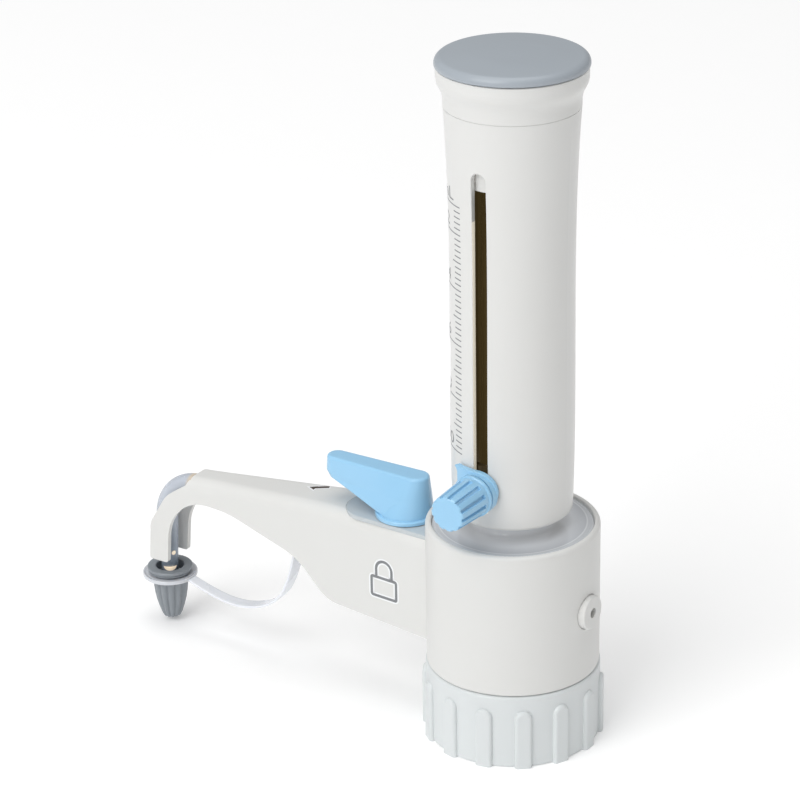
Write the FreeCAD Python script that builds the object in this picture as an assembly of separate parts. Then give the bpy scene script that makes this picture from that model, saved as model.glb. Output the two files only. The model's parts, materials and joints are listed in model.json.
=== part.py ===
import FreeCAD, Part
import math
import os

# Bottle-top dispenser, in millimetres. +Z is up. The origin is on the dispenser's axis, at the
# collar's bottom face. The discharge arm points along -X and the volume scale faces -Y.

# Clearances
SEAM = 0.3            # open seam between two covers, and the gap between parts that pass
RUN_FIT = 0.05        # radial clearance of a shaft, plunger or bearing in its bore
SNUG_FIT = 0.05       # clearance of a fixed piece in its pocket
OVERCUT = 1.0         # how far a cutter runs past the face that it opens

# Shared roundings
SMALL_EDGE = 0.4
ROUND_END = 0.99      # share of a half width that rounds a slot's or rib's end

# Collar that screws on the bottle
COLLAR_R = 30.4
COLLAR_HEIGHT = 27.2
COLLAR_FOOT_EDGE = 0.8
COLLAR_TOP_EDGE = 1.3
THREAD_R = 22.7       # root of the 45 mm bottle thread
THREAD_DEPTH = 14.0
COLLAR_WEB = 3.2
COLLAR_RECESS_R = 26.6
RIB_COUNT = 14
RIB_WIDTH = 6.0
RIB_HEIGHT = 22.0
RIB_DEPTH = 1.3
RIB_EDGE = 1.2
RIB_ROOT = 2.0        # how far a rib starts inside the collar's surface
FIRST_RIB = -52.2     # degrees about +Z, from +X
GASKET_R = 20.2
GASKET_HOLE_R = 9.6
GASKET_THICK = 1.2
RETAINER_R = 20.4
RETAINER_THICK = 1.4

# Valve housing
HOUSING_R = 30.0
HOUSING_HEIGHT = 52.5
HOUSING_WALL = 2.2
HOUSING_FLOOR = 2.6
HOUSING_EDGE = 1.3
RIM_WIDTH = 2.04      # rim round the shoulder ring
LEDGE_WIDTH = 1.6
LEDGE_THICK = 2.0
SPIGOT_WALL = 2.2
RING_DROP = 0.6       # shoulder ring's top below the rim
RING_THICK = 3.4
RING_EDGE = 1.1
RING_NECK_WALL = 1.5
RING_NECK_HEIGHT = 4.2
RING_NECK_BEND = 2.0

# Valve block
HUB_R = 15.0
NECK_R = 13.0
COLUMN_R = 12.0
FLANGE_R = 24.0
FLANGE_THICK = 3.0
DECK_R = 22.0
DECK_THICK = 3.6
BLOCK_EDGE = 0.8
COLUMN_BLEND = 3.0
PASSAGE_R = 1.6
SCREW_CIRCLE_R = 20.0
SCREW_COUNT = 3
FIRST_SCREW = 60.0    # degrees about +Z, from +X
SCREW_R = 1.4
SCREW_HEAD_R = 2.7
SCREW_HEAD_THICK = 1.8
SCREW_BITE = 2.0

# Filling valve in the hub
NIPPLE_R = 3.2
NIPPLE_LENGTH = 5.0
NIPPLE_INSET = 0.4    # nipple's end above the top of the bottle thread
VALVE_FLANGE_R = 8.4
VALVE_FLANGE_THICK = 1.8
VALVE_BODY_R = 7.0
VALVE_BODY_HEIGHT = 8.6
CAGE_THICK = 1.6
BALL_R = 2.4
BALL_LIFT = 1.0
BALL_CLEARANCE = 0.3
SEAT_GAP = 0.04

# Outlet valve, discharge tube and nozzle
OUTLET_HEIGHT = 32.0  # tube axis above the housing's bottom
OUTLET_VALVE_R = 5.5
OUTLET_INSERT = 8.0   # how far the cartridge sits inside the column
OUTLET_SEAT_DEPTH = 3.0
SPRING_R = 1.9
SPRING_WIRE_R = 0.25
SPRING_LENGTH = 7.5
SPRING_TURNS = 5
NOZZLE_REACH = 149.5
BEND_R = 16.0
TUBE_R = 3.2
ELBOW_R = 4.0
ELBOW_LEAD = 13.0     # thick stretch of the tube before its bend
TUBE_BORE_R = 1.5
NOZZLE_TIP_R = 2.6
NOZZLE_TIP_Z = 9.0
TUBE_PLUG_IN = 1.6    # tube's start inside its boss on the valve chamber

# Discharge arm cover
ARM_WALL = 1.8
ARM_ROOT_HALF = 13.0
ARM_TIP_HALF = 7.0
ARM_NARROW_BACK = 19.5   # from the nozzle's axis back to where the taper ends
ARM_BLEND = 300.0
ARM_TOP = 43.2        # heights above the housing's bottom
ARM_BOTTOM = 3.8
ARM_TIP_TOP = 37.0
ARM_FOOT = 0.1        # underside of the two ears at the tip
ARM_TOP_EDGE = 4.6
ARM_TOP_FLAT = 41.0   # level stretch of the top, out from the housing
ARM_TOP_BEND = 60.0
# Underside, from the housing: (reach from the housing, height, rounding)
ARM_BELLY = (41.0, 6.5, 12.0)
ARM_FLANK = (54.5, 19.7, 24.0)
# Underside and ears, from the nozzle's axis: (distance back, height, rounding)
ARM_SLOPE = (33.5, 28.4, 40.0)
EAR_BEND = (6.8, 28.4, 19.0)
EAR_UPPER = (5.2, 27.9, 14.0)
EAR_LOWER = (-2.6, 15.2, 8.0)
EAR_FRONT = -3.7
EAR_BACK = 4.5
EAR_EDGE = 1.0
WINDOW_LENGTH = 15.6  # open length over the bend, back from the nozzle's axis
WINDOW_LEAN = 1.4
WINDOW_DEPTH = 3.0
ROOT_WALL = 2.5
TUBE_WALL_BACK = 23.5
UNDER_OPEN_REACH = 42.0  # the cover is open below from here to the tip
STRAP_PIN_REACH = 56.5
STRAP_PIN_HEIGHT = 23.4
STRAP_PIN_R = 1.5

# Dispensing valve under the lever
VALVE_REACH = 13.3    # from the housing to the valve's axis
CHAMBER_R = 8.2
PLUG_R = 6.0
CHAMBER_DEPTH = 24.0
CHAMBER_FLOOR = 2.2
PORT_BOSS_R = 4.4
SADDLE_THICK = 1.5
SADDLE_PROUD = 0.2
SADDLE_ROOT_HALF = 11.9
SADDLE_END_R = 10.4
SADDLE_REACH = 36.6
SADDLE_EDGE = 0.4
STEM_R = 3.6
STEM_LENGTH = 7.0
PLUG_SEAL_R = 0.7
PLUG_SEAL_DEPTH = 1.4
PLUG_SEAL_SPREAD = 5.5
LEVER_FLANGE_R = 11.1
LEVER_FLANGE_THICK = 1.3
LEVER_FLANGE_EDGE = 0.5
LEVER_NECK_R = 9.7
LEVER_HEIGHT = 16.0
LEVER_HEEL_R = 4.2
LEVER_TIP_R = 3.7
LEVER_TIP_DEPTH = 7.2
LEVER_TIP_BEVEL = 1.5
LEVER_TIP_SWELL = 0.3
LEVER_REACH = 32.4    # from the valve's axis to the tip
LEVER_HEEL = 8.9      # from the valve's axis to the heel
LEVER_EDGE = 1.2

# Vent on the side away from the arm
VENT_HEIGHT = 25.0    # above the housing's bottom
VENT_R = 6.0
VENT_PROUD = 1.9
VENT_SINK = 0.8       # flat seat for the plug, below the housing's surface
VENT_BODY_R = 4.2
VENT_BODY_LENGTH = 7.0
VENT_HOLE_R = 1.8
VENT_HOLE_DEPTH = 6.0
VENT_BOSS_R = 6.4
VENT_EDGE = 0.6
FILTER_THICK = 2.0
FILTER_R = 3.4

# Cylinder, its guard, piston and guide cup
BARREL_BORE_R = 5.715
BARREL_WALL = 1.8
BARREL_SOCKET = 6.0
BARREL_SEAL = 1.0
PISTON_LENGTH = 16.0
PISTON_FLOOR = 1.4
PISTON_SOCKET = 10.0
LIP_THICK = 1.6
LIP_DEPTH = 0.9
LIP_MARGIN = 2.4      # from each end of the piston to its lip
ROD_R = 3.5
GUARD_R = 11.3
GUARD_WALL = 1.0
GUARD_FOOT_THICK = 2.4
GUIDE_R = 18.6
GUIDE_WALL = 1.5
GUIDE_FLOOR = 2.4
GUIDE_HEIGHT = 9.5
GUIDE_DROP = 24.3     # guide's lower face below the resting sleeve's top
GUIDE_SPIGOT = 3.0    # centring spigot in the guard's top
GUIDE_EDGE = 0.5
LAND_LENGTH = 5.0
LAND_DROP = 1.5       # the running land's top below the guide's top
BARREL_CAP_THICK = 3.0

# Piston sleeve with its handle and cap
SLEEVE_CLEAR = 5.2    # air between the housing's rim and the resting sleeve
SLEEVE_LENGTH = 143.6
SLEEVE_FOOT_R = 20.5
SLEEVE_MID_R = 21.0
SLEEVE_LONG_R = 21.15
SLEEVE_TOP_R = 22.55
SLEEVE_MID = 33.0     # height above the sleeve's bottom
SLEEVE_LONG_DROP = 30.6  # below the sleeve's top
SLEEVE_EDGE = 1.4
SLOT_WIDTH = 5.4
SLOT_DROP = 17.4      # slot's end below the sleeve's top
SLOT_MARGIN = 1.0
SLOT_EDGE = 0.35
HANDLE_HEIGHT = 13.3
HANDLE_R = 24.9
HANDLE_BAND = 4.6
HANDLE_FLARE = 0.1
HANDLE_NECK_BEND = 9.0
HANDLE_BAND_BEND = 6.0
HANDLE_EDGE = 0.3
HANDLE_STEP = 2.0
HANDLE_HOLE_R = 20.6
HANDLE_SPIGOT = 4.0
HANDLE_SPIGOT_WALL = 1.5
CAP_HEIGHT = 4.1
CAP_PROUD = 0.4       # cap's radius over the handle ring's
CAP_LOW_EDGE = 0.3
CAP_EDGE_SHARE = 0.85 # rounding of the rim, as a share of the cap's side
CAP_CROWN = 1.2
CAP_CROWN_FALL = 0.2  # share of the crown's height lost at half the radius
CAP_CROWN_BEND = 60.0
CAP_SEAT = 1.0        # width of the ring on which the cap stands
CAP_SPIGOT = 4.0
CAP_SPIGOT_WALL = 1.4
CARRIER_THICK = 3.6
ROD_END_R = 2.5
ROD_NUT_R = 5.2
ROD_NUT_THICK = 3.2
NUT_SIDES = 6

# Volume slider and its clamping knob
KNOB_HEIGHT = 14.0    # knob's axis above the sleeve's bottom, at the largest volume
FOOT_LENGTH = 15.0
FOOT_WIDTH = 8.4
FOOT_THICK = 2.1
FOOT_ABOVE_KNOB = 7.85
SLIDER_STEM_WIDTH = 5.0
SLIDER_STEM_HEIGHT = 10.0
PLATE_GAP = 0.3       # plate over the widest part of the sleeve that it passes
PLATE_THICK = 1.8
PLATE_R = 7.9
PLATE_CORNER = 0.9    # rounding of the disc below the pointer, as a share of its radius
PLATE_RISE = 1.1      # centre of the plate's disc above the knob's axis
POINTER_REACH = 10.8   # from the slot's middle to the pointer's tip
POINTER_BEND = 3.0
POINTER_EDGE = 1.0
POINTER_TIP_HEIGHT = 2.2
STUD_R = 2.0
STUD_SOCKET = 1.2
STUD_PROUD = 1.0      # stud's end beyond the knob's insert
STEM_SOCKET = 0.8      # how far the foot's stem enters the plate
SEAT_PROUD = 1.2      # round seat in front of the plate, behind the knob
KNOB_LENGTH = 17.0
KNOB_GAP = 0.4
KNOB_BASE_R = 7.3
KNOB_RING = 1.8
KNOB_BODY_R = 6.7
KNOB_FACE_R = 5.3
KNOB_EDGE = 0.7
KNOB_RING_EDGE = 0.35
FLUTE_COUNT = 12
FLUTE_R = 1.15
FLUTE_MARGIN = 2.2
FLUTE_RISE = 0.35     # flute cutter's centre above the knob's surface
INSERT_R = 3.2
INSERT_SINK = 0.5     # insert's end inside the knob's back face
INSERT_LENGTH = 10.0

# Nozzle cap and its tether
CAP_LOW_Z = 1.4
CAP_FLANGE_TOP_Z = 22.8
CAP_FLANGE_R = 8.4
CAP_FLANGE_THICK = 2.1
CAP_NECK_R = 5.8
CAP_NECK_HEIGHT = 1.8
CAP_SHOULDER_R = 6.5
CAP_WAIST_R = 5.95
CAP_WAIST_BEND = 18.0
CAP_NOSE_R = 2.9
CAP_NOSE_EDGE = 0.9
CAP_RECESS_R = 5.2
CAP_RECESS_DEPTH = 3.6
CAP_GROOVE_COUNT = 12
CAP_FIRST_GROOVE = -37.0
CAP_GROOVE_R = 0.75
CAP_GROOVE_RISE = 0.3
CAP_GROOVE_MARGIN = 1.2
TETHER_RING_R = 10.2
TETHER_RING_THICK = 1.0
TETHER_LIP = 0.6
TETHER_PLAY = 0.1     # height that the ring is free on the cap's neck
STRAP_WIDTH = 4.0
STRAP_THICK = 0.9
STRAP_EYE_WALL = 1.0
STRAP_LOW_Z = 13.0
STRAP_LOW_SHARE = 0.413   # shares of the span from the tether ring to the pin
STRAP_LOW_BEND_SHARE = 0.45
STRAP_RISE_Z = 21.5
STRAP_RISE_SHARE = 0.735
STRAP_RISE_BEND_SHARE = 0.38

# Heights worked out from the sizes above
retainer_low = THREAD_DEPTH + GASKET_THICK
retainer_high = retainer_low + RETAINER_THICK
web_low = retainer_high + SEAM
web_high = web_low + COLLAR_WEB
housing_low = COLLAR_HEIGHT + SEAM
rim_r = HOUSING_R - RIM_WIDTH
floor_top = housing_low + HOUSING_FLOOR
housing_top = housing_low + HOUSING_HEIGHT
ring_top = housing_top - RING_DROP
ledge_top = ring_top - RING_THICK
deck_top = ledge_top - GUARD_FOOT_THICK
deck_low = deck_top - DECK_THICK
outlet_z = housing_low + OUTLET_HEIGHT
arm_top = housing_low + ARM_TOP
vent_z = housing_low + VENT_HEIGHT
vent_flat_x = HOUSING_R - VENT_SINK

nipple_low = THREAD_DEPTH + NIPPLE_INSET
valve_flange_low = nipple_low + NIPPLE_LENGTH
valve_body_low = valve_flange_low + VALVE_FLANGE_THICK
valve_body_high = valve_body_low + VALVE_BODY_HEIGHT
cage_low = valve_body_high - CAGE_THICK
seat_depth = math.sqrt(BALL_R ** 2 - PASSAGE_R ** 2)
inlet_seat_z = cage_low - BALL_LIFT - BALL_R - seat_depth - SEAT_GAP

barrel_r = BARREL_BORE_R + BARREL_WALL
socket_floor = deck_top - BARREL_SOCKET
barrel_low = socket_floor + BARREL_SEAL
guard_bore_r = GUARD_R - GUARD_WALL
guide_bore_r = GUIDE_R - GUIDE_WALL
piston_r = BARREL_BORE_R - RUN_FIT
piston_low = barrel_low + PISTON_FLOOR
piston_high = piston_low + PISTON_LENGTH

sleeve_low = housing_top + SLEEVE_CLEAR
sleeve_top = sleeve_low + SLEEVE_LENGTH
stop_z = sleeve_top - GUIDE_DROP
barrel_top = stop_z + GUIDE_FLOOR
guide_top = stop_z + GUIDE_HEIGHT
sleeve_bore_r = GUIDE_R + SEAM
handle_top = sleeve_top + HANDLE_HEIGHT
cap_low = handle_top + SEAM
top_cap_r = HANDLE_R + CAP_PROUD
carrier_high = sleeve_top - HANDLE_SPIGOT
carrier_low = carrier_high - CARRIER_THICK

knob_z = sleeve_low + KNOB_HEIGHT
foot_high = knob_z + FOOT_ABOVE_KNOB
foot_low = foot_high - FOOT_LENGTH
plate_bore_r = SLEEVE_LONG_R + PLATE_GAP
plate_r = plate_bore_r + PLATE_THICK

knob_back_y = plate_r + SEAT_PROUD + KNOB_GAP

saddle_top = arm_top + SADDLE_PROUD
saddle_low = saddle_top - SADDLE_THICK
chamber_low = saddle_low - CHAMBER_DEPTH
lever_low = saddle_top + SEAM
tip_x = -NOZZLE_REACH
arm_root_x = -HOUSING_R / 2
arm_narrow_x = tip_x + ARM_NARROW_BACK
window_x = tip_x + WINDOW_LENGTH
valve_x = -HOUSING_R - VALVE_REACH
pin_x = -HOUSING_R - STRAP_PIN_REACH
pin_z = housing_low + STRAP_PIN_HEIGHT
discharge_start = valve_x - CHAMBER_R - TUBE_PLUG_IN

UP = FreeCAD.Vector(0, 0, 1)
ACROSS = FreeCAD.Vector(0, 1, 0)
ALONG = FreeCAD.Vector(1, 0, 0)
BIG = 300.0
TOUCH = 0.01


def at(x, y, z):
    return FreeCAD.Vector(x, y, z)


def side_view(u, v):
    return at(u, 0, v)


def plan_view(u, v):
    return at(u, v, 0)


def outline(corners, place):
    """Closed wire through corners (u, v, rounding), laid in space by place(u, v)."""
    spans = []
    for index, (u, v, rounding) in enumerate(corners):
        before = corners[index - 1]
        after = corners[(index + 1) % len(corners)]
        here = at(u, v, 0)
        if rounding == 0:
            spans.append((here, None, here))
            continue
        back = (at(before[0], before[1], 0) - here).normalize()
        ahead = (at(after[0], after[1], 0) - here).normalize()
        half = back.getAngle(ahead) / 2
        reach = rounding / math.tan(half)
        middle = here + (back + ahead).normalize() * (rounding / math.sin(half) - rounding)
        spans.append((here + back * reach, middle, here + ahead * reach))
    edges = []
    for index, (start, middle, end) in enumerate(spans):
        if middle is not None:
            arc = Part.Arc(place(start.x, start.y), place(middle.x, middle.y), place(end.x, end.y))
            edges.append(arc.toShape())
        following = spans[(index + 1) % len(spans)][0]
        if end.distanceToPoint(following) > 1e-6:
            edges.append(Part.makeLine(place(end.x, end.y), place(following.x, following.y)))
    return Part.Wire(edges)


def turned(corners, x=0.0):
    """Solid of revolution about the vertical at x, from (radius, height, rounding) corners."""
    solid = Part.Face(outline(corners, side_view)).revolve(at(0, 0, 0), UP, 360)
    return solid.translated(at(x, 0, 0))


def cylinder(radius, low, high, x=0.0, y=0.0):
    return Part.makeCylinder(radius, high - low, at(x, y, low), UP)


def tube(outer, inner, low, high, x=0.0):
    return cylinder(outer, low, high, x).cut(cylinder(inner, low - OVERCUT, high + OVERCUT, x))


def bar(radius, start, direction, length):
    return Part.makeCylinder(radius, length, start, direction)


def block(x_low, x_high, y_low, y_high, z_low, z_high):
    return Part.makeBox(x_high - x_low, y_high - y_low, z_high - z_low, at(x_low, y_low, z_low))


def plan_slab(corners, low, high):
    """Plan-view outline, extruded from low to high."""
    face = Part.Face(outline(corners, plan_view)).translated(at(0, 0, low))
    return face.extrude(at(0, 0, high - low))


def around(shape, count, first=0.0, centre=None, axis=UP):
    """Copies of a shape turned evenly about an axis."""
    middle = centre or at(0, 0, 0)
    return [shape.rotated(middle, axis, first + 360.0 * k / count) for k in range(count)]


def joined(first, *others):
    return first.fuse(list(others)).removeSplitter()


def edges_where(shape, test):
    return [edge for edge in shape.Edges if test(edge.BoundBox)]


# Collar


def collar_rib():
    half = RIB_WIDTH / 2
    corners = [(-half, 0, 0), (half, 0, 0), (half, RIB_HEIGHT, half * ROUND_END),
               (-half, RIB_HEIGHT, half * ROUND_END)]
    face = Part.Face(outline(corners, lambda u, v: at(COLLAR_R - RIB_ROOT, u, v)))
    rib = face.extrude(at(RIB_DEPTH + RIB_ROOT, 0, 0))
    outer = edges_where(rib, rib_edge)
    return rib.makeFillet(RIB_EDGE, outer)


def rib_edge(box):
    """Edges round a rib's outer face, without the one at its foot."""
    return box.XMin > COLLAR_R + RIB_DEPTH - TOUCH and box.ZMax > TOUCH


def bottle_collar():
    shell = turned([(HUB_R + RUN_FIT, web_low, 0), (RETAINER_R + SEAM, web_low, 0),
                    (RETAINER_R + SEAM, THREAD_DEPTH, 0), (THREAD_R, THREAD_DEPTH, 0),
                    (THREAD_R, 0, 0), (COLLAR_R, 0, COLLAR_FOOT_EDGE),
                    (COLLAR_R, COLLAR_HEIGHT, COLLAR_TOP_EDGE),
                    (COLLAR_RECESS_R, COLLAR_HEIGHT, 0), (COLLAR_RECESS_R, web_high, 0),
                    (HUB_R + RUN_FIT, web_high, 0)])
    return joined(shell, *around(collar_rib(), RIB_COUNT, FIRST_RIB))


def collar_retainer():
    return tube(RETAINER_R, NECK_R, retainer_low, retainer_high)


def bottle_gasket():
    return tube(GASKET_R, GASKET_HOLE_R, THREAD_DEPTH, retainer_low)


# Housing


def screw_places():
    step = 360.0 / SCREW_COUNT
    angles = [math.radians(FIRST_SCREW + step * k) for k in range(SCREW_COUNT)]
    return [(SCREW_CIRCLE_R * math.cos(a), SCREW_CIRCLE_R * math.sin(a)) for a in angles]


def valve_housing():
    spigot_r = COLLAR_RECESS_R - SEAM
    inner = HOUSING_R - HOUSING_WALL
    ledge_r = rim_r - LEDGE_WIDTH
    shell = turned([(HUB_R + SNUG_FIT, housing_low, 0), (spigot_r - SPIGOT_WALL, housing_low, 0),
                    (spigot_r - SPIGOT_WALL, web_high + SEAM, 0), (spigot_r, web_high + SEAM, 0),
                    (spigot_r, housing_low, 0), (HOUSING_R, housing_low, SMALL_EDGE),
                    (HOUSING_R, housing_top, HOUSING_EDGE), (rim_r, housing_top, SMALL_EDGE),
                    (rim_r, ledge_top, 0), (ledge_r, ledge_top, 0),
                    (ledge_r, ledge_top - LEDGE_THICK, 0), (inner, ledge_top - 2 * LEDGE_THICK, 0),
                    (inner, floor_top, 0), (HUB_R + SNUG_FIT, floor_top, 0)])
    boss_low = vent_flat_x - VENT_BODY_LENGTH
    boss = bar(VENT_BOSS_R, at(boss_low, 0, vent_z), ALONG, HOUSING_R - HOUSING_WALL / 2 - boss_low)
    shell = joined(shell, boss)
    shell = shell.cut(bar(VENT_R + SEAM, at(vent_flat_x, 0, vent_z), ALONG, BIG))
    shell = shell.cut(bar(VENT_BODY_R, at(0, 0, vent_z), ALONG, BIG))
    shell = shell.cut(bar(OUTLET_VALVE_R + SNUG_FIT, at(0, 0, outlet_z), ALONG * -1, BIG))
    for x, y in screw_places():
        shell = shell.cut(cylinder(SCREW_R, floor_top - SCREW_BITE, floor_top + OVERCUT, x, y))
    return shell


def shoulder_ring():
    """Grey disc in the housing's rim, with a low collar round the cylinder's guard."""
    inner = GUARD_R + SEAM
    neck_r = inner + RING_NECK_WALL
    neck_top = ring_top + RING_NECK_HEIGHT
    return turned([(inner, ledge_top, 0), (rim_r - SEAM, ledge_top, 0),
                   (rim_r - SEAM, ring_top, RING_EDGE), (neck_r, ring_top, RING_NECK_BEND),
                   (neck_r, neck_top, SMALL_EDGE), (inner, neck_top, 0)])


# Valve block


def valve_block():
    """Hub, flange on the housing's floor, column and the deck that carries the cylinder."""
    body = turned([(0, retainer_low, 0), (NECK_R, retainer_low, 0), (NECK_R, retainer_high, 0),
                   (HUB_R, retainer_high, 0), (HUB_R, floor_top, 0), (FLANGE_R, floor_top, 0),
                   (FLANGE_R, floor_top + FLANGE_THICK, BLOCK_EDGE),
                   (COLUMN_R, floor_top + FLANGE_THICK, COLUMN_BLEND),
                   (COLUMN_R, deck_low, COLUMN_BLEND),
                   (DECK_R, deck_low, BLOCK_EDGE), (DECK_R, deck_top, 0), (0, deck_top, 0)])
    body = body.cut(cylinder(VALVE_FLANGE_R + SNUG_FIT, 0, valve_body_low))
    body = body.cut(cylinder(VALVE_BODY_R + SNUG_FIT, 0, valve_body_high))
    body = body.cut(cylinder(PASSAGE_R, 0, deck_top + OVERCUT))
    body = body.cut(cylinder(barrel_r + SNUG_FIT, socket_floor, deck_top + OVERCUT))
    bore_x = OUTLET_INSERT - COLUMN_R
    body = body.cut(bar(OUTLET_VALVE_R + SNUG_FIT, at(bore_x, 0, outlet_z), ALONG * -1, COLUMN_R))
    body = body.cut(bar(PASSAGE_R, at(0, 0, outlet_z), ALONG * -1, COLUMN_R))
    for x, y in screw_places():
        body = body.cut(cylinder(SCREW_R + SNUG_FIT, floor_top - OVERCUT,
                                 floor_top + FLANGE_THICK + OVERCUT, x, y))
    return body


def block_screws():
    seat = floor_top + FLANGE_THICK
    screws = []
    for x, y in screw_places():
        shank = cylinder(SCREW_R, floor_top - SCREW_BITE, seat + SCREW_HEAD_THICK / 2, x, y)
        head = cylinder(SCREW_HEAD_R, seat, seat + SCREW_HEAD_THICK, x, y)
        screws.append(joined(shank, head))
    return Part.makeCompound(screws)


def filling_valve():
    chamber_r = BALL_R + BALL_CLEARANCE
    return turned([(PASSAGE_R, nipple_low, 0), (NIPPLE_R, nipple_low, SMALL_EDGE),
                   (NIPPLE_R, valve_flange_low, 0), (VALVE_FLANGE_R, valve_flange_low, SMALL_EDGE),
                   (VALVE_FLANGE_R, valve_body_low, 0), (VALVE_BODY_R, valve_body_low, 0),
                   (VALVE_BODY_R, cage_low, 0), (chamber_r, cage_low, 0),
                   (chamber_r, inlet_seat_z, 0), (PASSAGE_R, inlet_seat_z, 0)])


def inlet_cage():
    return tube(VALVE_BODY_R, PASSAGE_R, cage_low, valve_body_high)


def inlet_ball():
    return Part.makeSphere(BALL_R, at(0, 0, inlet_seat_z + seat_depth + SEAT_GAP))


# Outlet valve between the block and the lever's chamber


outlet_start = OUTLET_INSERT - COLUMN_R
outlet_seat = outlet_start - OUTLET_SEAT_DEPTH
outlet_end = valve_x + CHAMBER_R + TUBE_PLUG_IN / 2
outlet_ball_x = outlet_seat - seat_depth - SEAT_GAP


def outlet_valve():
    chamber = outlet_ball_x - BALL_R - SPRING_LENGTH
    body = bar(OUTLET_VALVE_R, at(outlet_end, 0, outlet_z), ALONG, outlet_start - outlet_end)
    body = body.cut(bar(PASSAGE_R, at(outlet_end, 0, outlet_z), ALONG, BIG))
    return body.cut(bar(BALL_R + BALL_CLEARANCE, at(chamber, 0, outlet_z), ALONG,
                        outlet_seat - chamber))


def outlet_ball():
    return Part.makeSphere(BALL_R, at(outlet_ball_x, 0, outlet_z))


def outlet_spring():
    """Round-wire spring between the ball and the far end of the valve's chamber."""
    length = SPRING_LENGTH - 2 * SPRING_WIRE_R - SEAM
    helix = Part.makeHelix(length / SPRING_TURNS, length, SPRING_R)
    wire = Part.Wire(Part.makeCircle(SPRING_WIRE_R, at(SPRING_R, 0, 0), ACROSS))
    spring = Part.Wire(helix).makePipeShell([wire], True, True)
    spring.rotate(at(0, 0, 0), ACROSS, -90)
    start = outlet_ball_x - BALL_R - SPRING_WIRE_R
    return spring.translated(at(start, 0, outlet_z))


# Discharge tube


def discharge_tube():
    start = discharge_start
    bend_x = tip_x + BEND_R
    centre = at(bend_x, 0, outlet_z - BEND_R)
    turn_low = outlet_z - BEND_R

    def bend(radius):
        ring = Part.makeCircle(radius, at(bend_x, 0, outlet_z), ALONG)
        return Part.Face(Part.Wire(ring)).revolve(centre, ACROSS, -90)

    straight = bar(TUBE_R, at(start, 0, outlet_z), ALONG * -1, start - bend_x - ELBOW_LEAD)
    lead = bar(ELBOW_R, at(bend_x + ELBOW_LEAD, 0, outlet_z), ALONG * -1, ELBOW_LEAD)
    drop = Part.makeCone(NOZZLE_TIP_R, ELBOW_R, turn_low - NOZZLE_TIP_Z,
                         at(tip_x, 0, NOZZLE_TIP_Z), UP)
    outside = joined(straight, lead, bend(ELBOW_R), drop)
    bore_start = start + OVERCUT
    bore = joined(bar(TUBE_BORE_R, at(bore_start, 0, outlet_z), ALONG * -1, bore_start - bend_x),
                  bend(TUBE_BORE_R),
                  cylinder(TUBE_BORE_R, NOZZLE_TIP_Z - OVERCUT, turn_low, tip_x))
    return outside.cut(bore)


# Arm cover


def from_housing(reach, height, rounding=0.0):
    return (-HOUSING_R - reach, housing_low + height, rounding)


def from_nozzle(back, height, rounding=0.0):
    return (tip_x + back, housing_low + height, rounding)


def arm_side(inset=0.0):
    """Side view of the arm: (x, z, rounding) corners of its outer surface."""
    corners = [(arm_root_x, arm_top, 0), from_housing(ARM_TOP_FLAT, ARM_TOP, ARM_TOP_BEND),
               from_nozzle(WINDOW_LENGTH, ARM_TIP_TOP),
               from_nozzle(WINDOW_LENGTH - WINDOW_LEAN, ARM_TIP_TOP - WINDOW_DEPTH),
               from_nozzle(*EAR_UPPER), from_nozzle(*EAR_LOWER),
               from_nozzle(EAR_FRONT, ARM_FOOT, EAR_EDGE), from_nozzle(EAR_BACK, ARM_FOOT, EAR_EDGE),
               from_nozzle(*EAR_BEND), from_nozzle(*ARM_SLOPE), from_housing(*ARM_FLANK),
               from_housing(*ARM_BELLY), (arm_root_x, housing_low + ARM_BOTTOM, 0)]
    wire = outline(corners, side_view)
    if inset:
        wire = wire.makeOffset2D(-inset)
    return wire


def arm_plan(inset=0.0):
    """Plan view of the arm: a taper that blends into the parallel tip."""
    root = ARM_ROOT_HALF - inset
    tip = ARM_TIP_HALF - inset
    end = tip_x - ARM_TIP_HALF
    slope = (ARM_ROOT_HALF - ARM_TIP_HALF) / (arm_narrow_x + HOUSING_R)
    start_half = root - slope * (HOUSING_R + arm_root_x)
    return [(arm_root_x, start_half, 0), (arm_narrow_x, tip, ARM_BLEND), (end, tip, 0),
            (end, -tip, 0), (arm_narrow_x, -tip, ARM_BLEND), (arm_root_x, -start_half, 0)]


def arm_form(inset=0.0):
    side = Part.Face(arm_side(inset)).translated(at(0, -BIG, 0))
    form = side.extrude(at(0, 2 * BIG, 0))
    return form.common(plan_slab(arm_plan(inset), 0, housing_top))


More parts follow.
